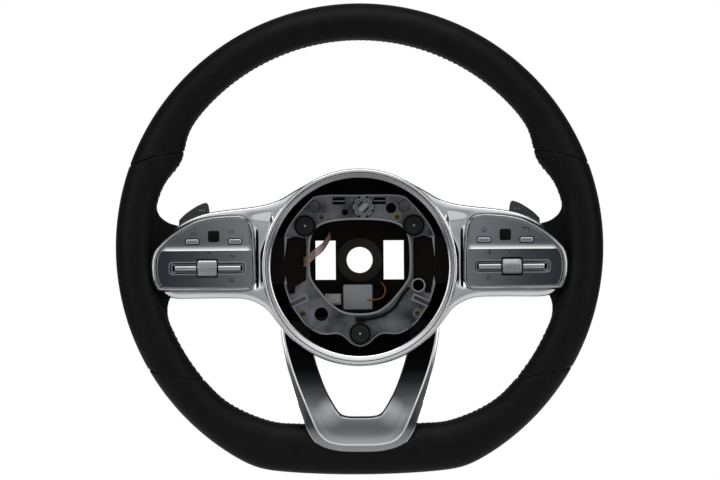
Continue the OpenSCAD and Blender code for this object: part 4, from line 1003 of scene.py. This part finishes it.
# Each screw's drive and a ring round its head are painted black as shade in the pocket; the spot facing round
# them uses the pale edge finish
SCREW_RINGS = [
    ("spot_facing", "armature", EDGE, 40, [(2.5, 37.9), (2.55, 38.15), (3.1, 38.2), (3.35, 37.9)]),
    ("screw_drive", "deck_screws", COATED, 12, [(0.01, 38.7), (1.0, 38.7), (1.0, 39.05), (0.01, 39.05)]),
    ("screw_washer", "deck_screws", COATED, 40, [(2.15, 37.9), (2.2, 38.5), (2.5, 38.45), (2.55, 37.9)])]
for k, screw in enumerate(SCREWS):
    for name, node, look, steps, profile in SCREW_RINGS:
        beside(turned(f"{name}_{k}", screw, profile, steps), look, node)

# The ribbed plug: a groove, a floor and a shadow ring painted black as shade, a bright ring and a slanting
# raised bar
PLUG = (3, 40.6)
PLUG_RINGS = [("shadow", COATED, [(6.9, 37.95), (6.9, 38.07), (8.7, 38.07), (8.7, 37.95)]),
              ("floor", COATED, [(0.01, 38.1), (0.01, 38.3), (5.7, 38.3), (5.7, 38.1)]),
              ("groove", COATED, [(5.7, 38.0), (5.75, 38.55), (6.5, 38.6), (6.55, 38.0)]),
              ("ring", EDGE, [(4.6, 38.4), (4.65, 38.95), (5.05, 38.98), (5.15, 38.4)])]
for name, look, profile in PLUG_RINGS:
    beside(turned("plug_" + name, PLUG, profile, 48), look, "ribbed_plug")
PLUG_BAR = [(0, 38.5), (0, 38.95), (0.25, 39.2), (0.8, 39.35), (1.3, 39.4)]
beside(domed("plug_bar", (*PLUG, 8.6, 3.2, 1.5), PLUG_BAR, 45), EDGE, "ribbed_plug", 40)

# Painted shade inside the upper holes and round the lower bosses, as black seats: (x, z, radius, depth inside,
# depth outside)
SEATS = [(34.3, 41.3, 4.6, 37.1, 37.3), (36.8, -47.6, 3.9, 38.03, 38.06)]
for x, z, radius, inner, outer in SEATS:
    seat = [(radius - 0.45, 36.9), (radius - 0.45, inner), (radius + 0.05, outer), (radius + 0.1, 36.9)]
    for side in (-1, 1):
        beside(turned(f"painted_shade_seat_{side * x:.0f}_{z:.0f}", (side * x, z), seat, 40), COATED, "armature")

# Every other node gets its finish from a part of its name, or else from its material slot
LOOKS = {"machined_steel": STEEL, "black_plastic": BLACK, "dark_grey_plastic": PADDLE, "grey_plastic": GREY,
         "yellow_zinc": BRASS, "label_stock": LABEL, "white_plastic": WHITE, "wire_insulation": WIRE,
         "orange_insulation": ORANGE, "black_insulation": BLACK}
OWN_LOOKS = {"sleeve": COATED, "cable_cover": COATED, "clip_wires": EDGE, "toggle": TOGGLE, "plunger": UNIT,
             "rear_cover": COVER, "spoke_cover": COVER}
SLOT_OF = {s["node"]: s["material_slot"] for s in frame["record"]["subparts"]}
dress("armature", [CAST, EDGE, COATED], 0.25, choose=casting_region)
for node in sorted(set(NODES) - MADE):
    own = [look for part, look in OWN_LOOKS.items() if part in node]
    dress(node, own[0] if own else LOOKS[SLOT_OF[node]])

# The camera stands far off, square to the wheel, as in a catalogue picture
PIXEL, DISTANCE, ROLL = 0.758 * MM, 3.0, 0.4
IMAGE_W, SENSOR_W = 720, 36
AXIS_PIXEL, MIDDLE_PIXEL = (359.5, 261.1), (360, 240.8)
camera = placed("camera", bpy.data.cameras.new("camera"))
camera.data.sensor_width = SENSOR_W
camera.data.lens = SENSOR_W * DISTANCE / (IMAGE_W * PIXEL)
aim = Vector(((MIDDLE_PIXEL[0] - AXIS_PIXEL[0]) * PIXEL, -0.055, (AXIS_PIXEL[1] - MIDDLE_PIXEL[1]) * PIXEL))
camera.matrix_world = (Matrix.Translation(aim - Vector((0, DISTANCE, 0)))
                       @ Matrix.Rotation(math.radians(90), 4, "X")
                       @ Matrix.Rotation(math.radians(-ROLL), 4, "Z"))
bpy.context.scene.camera = camera

# Matt paint on the floor below the wheel: a pale ground for its foot
bpy.ops.mesh.primitive_circle_add(vertices=96, radius=0.9, fill_type="NGON", location=(0, 0, -0.3))
floor = bpy.context.object
floor.name = "floor"
floor.data.materials.append(material("pale_floor_paint", Base_Color=linear("#e8e8e8"), Roughness=0.8)[0])


def softbox(name, place, width, height, power):
    """An area light that faces the origin."""
    light = placed(name, bpy.data.lights.new(name, "AREA"))
    light.data.shape = "RECTANGLE"
    light.data.size, light.data.size_y = width, height
    light.data.energy = power
    light.location = place
    light.rotation_euler = (Vector((0, 0, 0)) - Vector(place)).to_track_quat("-Z", "Y").to_euler()


softbox("top_softbox", (0, -0.5, 1.6), 1.6, 0.8, 14)
softbox("left_softbox", (-1.5, -0.9, 0.4), 0.7, 1.4, 9)
softbox("right_softbox", (1.5, -0.9, 0.4), 0.7, 1.4, 9)

# What the bright parts mirror: a grey room behind the camera, white screens above and all round it,
# and dark gaps at both sides that draw the chrome's lines
world = bpy.data.worlds.new("studio")
bpy.context.scene.world = world
world.use_nodes = True
tree = world.node_tree
tree.nodes.clear()
path = add(tree, "ShaderNodeLightPath")
heading = add(tree, "ShaderNodeSeparateXYZ", Vector=add(tree, "ShaderNodeTexCoord").outputs["Generated"])
ahead = add(tree, "ShaderNodeMapRange", Value=heading.outputs["Y"], From_Min=-1.0, From_Max=1.0)
room = add(tree, "ShaderNodeValToRGB", {"stops": [
    (0.0, "#b4b5b7"), (0.02, "#c4c5c7"), (0.06, "#f4f4f4"), (0.27, "#ffffff"), (0.36, "#6a6a6c"),
    (0.45, "#1c1c1e"), (0.7, "#262628"), (1.0, "#8c8c8c")]}, Fac=ahead.outputs[0])
lift = add(tree, "ShaderNodeMapRange", Value=heading.outputs["Z"], From_Min=-1.0, From_Max=1.0)
shade = add(tree, "ShaderNodeValToRGB", {"stops": [
    (0.0, "#8c8883"), (0.35, "#c9c7c4"), (0.5, "#f4f4f4"), (0.62, "#ffffff")]}, Fac=lift.outputs[0])
aside = add(tree, "ShaderNodeMath", {"operation": "ABSOLUTE"}, _0=heading.outputs["X"])
flags = add(tree, "ShaderNodeValToRGB", {"stops": [
    (0.0, "#ffffff"), (0.45, "#ffffff"), (0.62, "#97989b"), (0.75, "#55565b"), (0.9, "#2c2d31"),
    (1.0, "#1a1b1f")]}, Fac=aside.outputs[0])
framed = add(tree, "ShaderNodeMix", {"data_type": "RGBA", "blend_type": "MULTIPLY"},
             _0=1.0, _6=room.outputs[0], _7=flags.outputs[0])
lit = add(tree, "ShaderNodeMix", {"data_type": "RGBA", "blend_type": "MULTIPLY"},
          _0=1.0, _6=framed.outputs[2], _7=shade.outputs[0])
seen = add(tree, "ShaderNodeBackground", Color=linear("#ffffff"), Strength=1.0)
mirror = add(tree, "ShaderNodeBackground", Color=lit.outputs[2], Strength=1.0)
ambient = add(tree, "ShaderNodeBackground", Color=linear("#ffffff"), Strength=0.45)
glossy = add(tree, "ShaderNodeMixShader", Fac=path.outputs["Is Glossy Ray"], _1=ambient.outputs[0],
             _2=mirror.outputs[0])
direct = add(tree, "ShaderNodeMath", {"operation": "MAXIMUM"}, _0=path.outputs["Is Camera Ray"],
             _1=path.outputs["Is Transmission Ray"])
final = add(tree, "ShaderNodeMixShader", Fac=direct.outputs[0], _1=glossy.outputs[0], _2=seen.outputs[0])
add(tree, "ShaderNodeOutputWorld", Surface=final.outputs[0])
bpy.context.scene.view_settings.view_transform = "Standard"
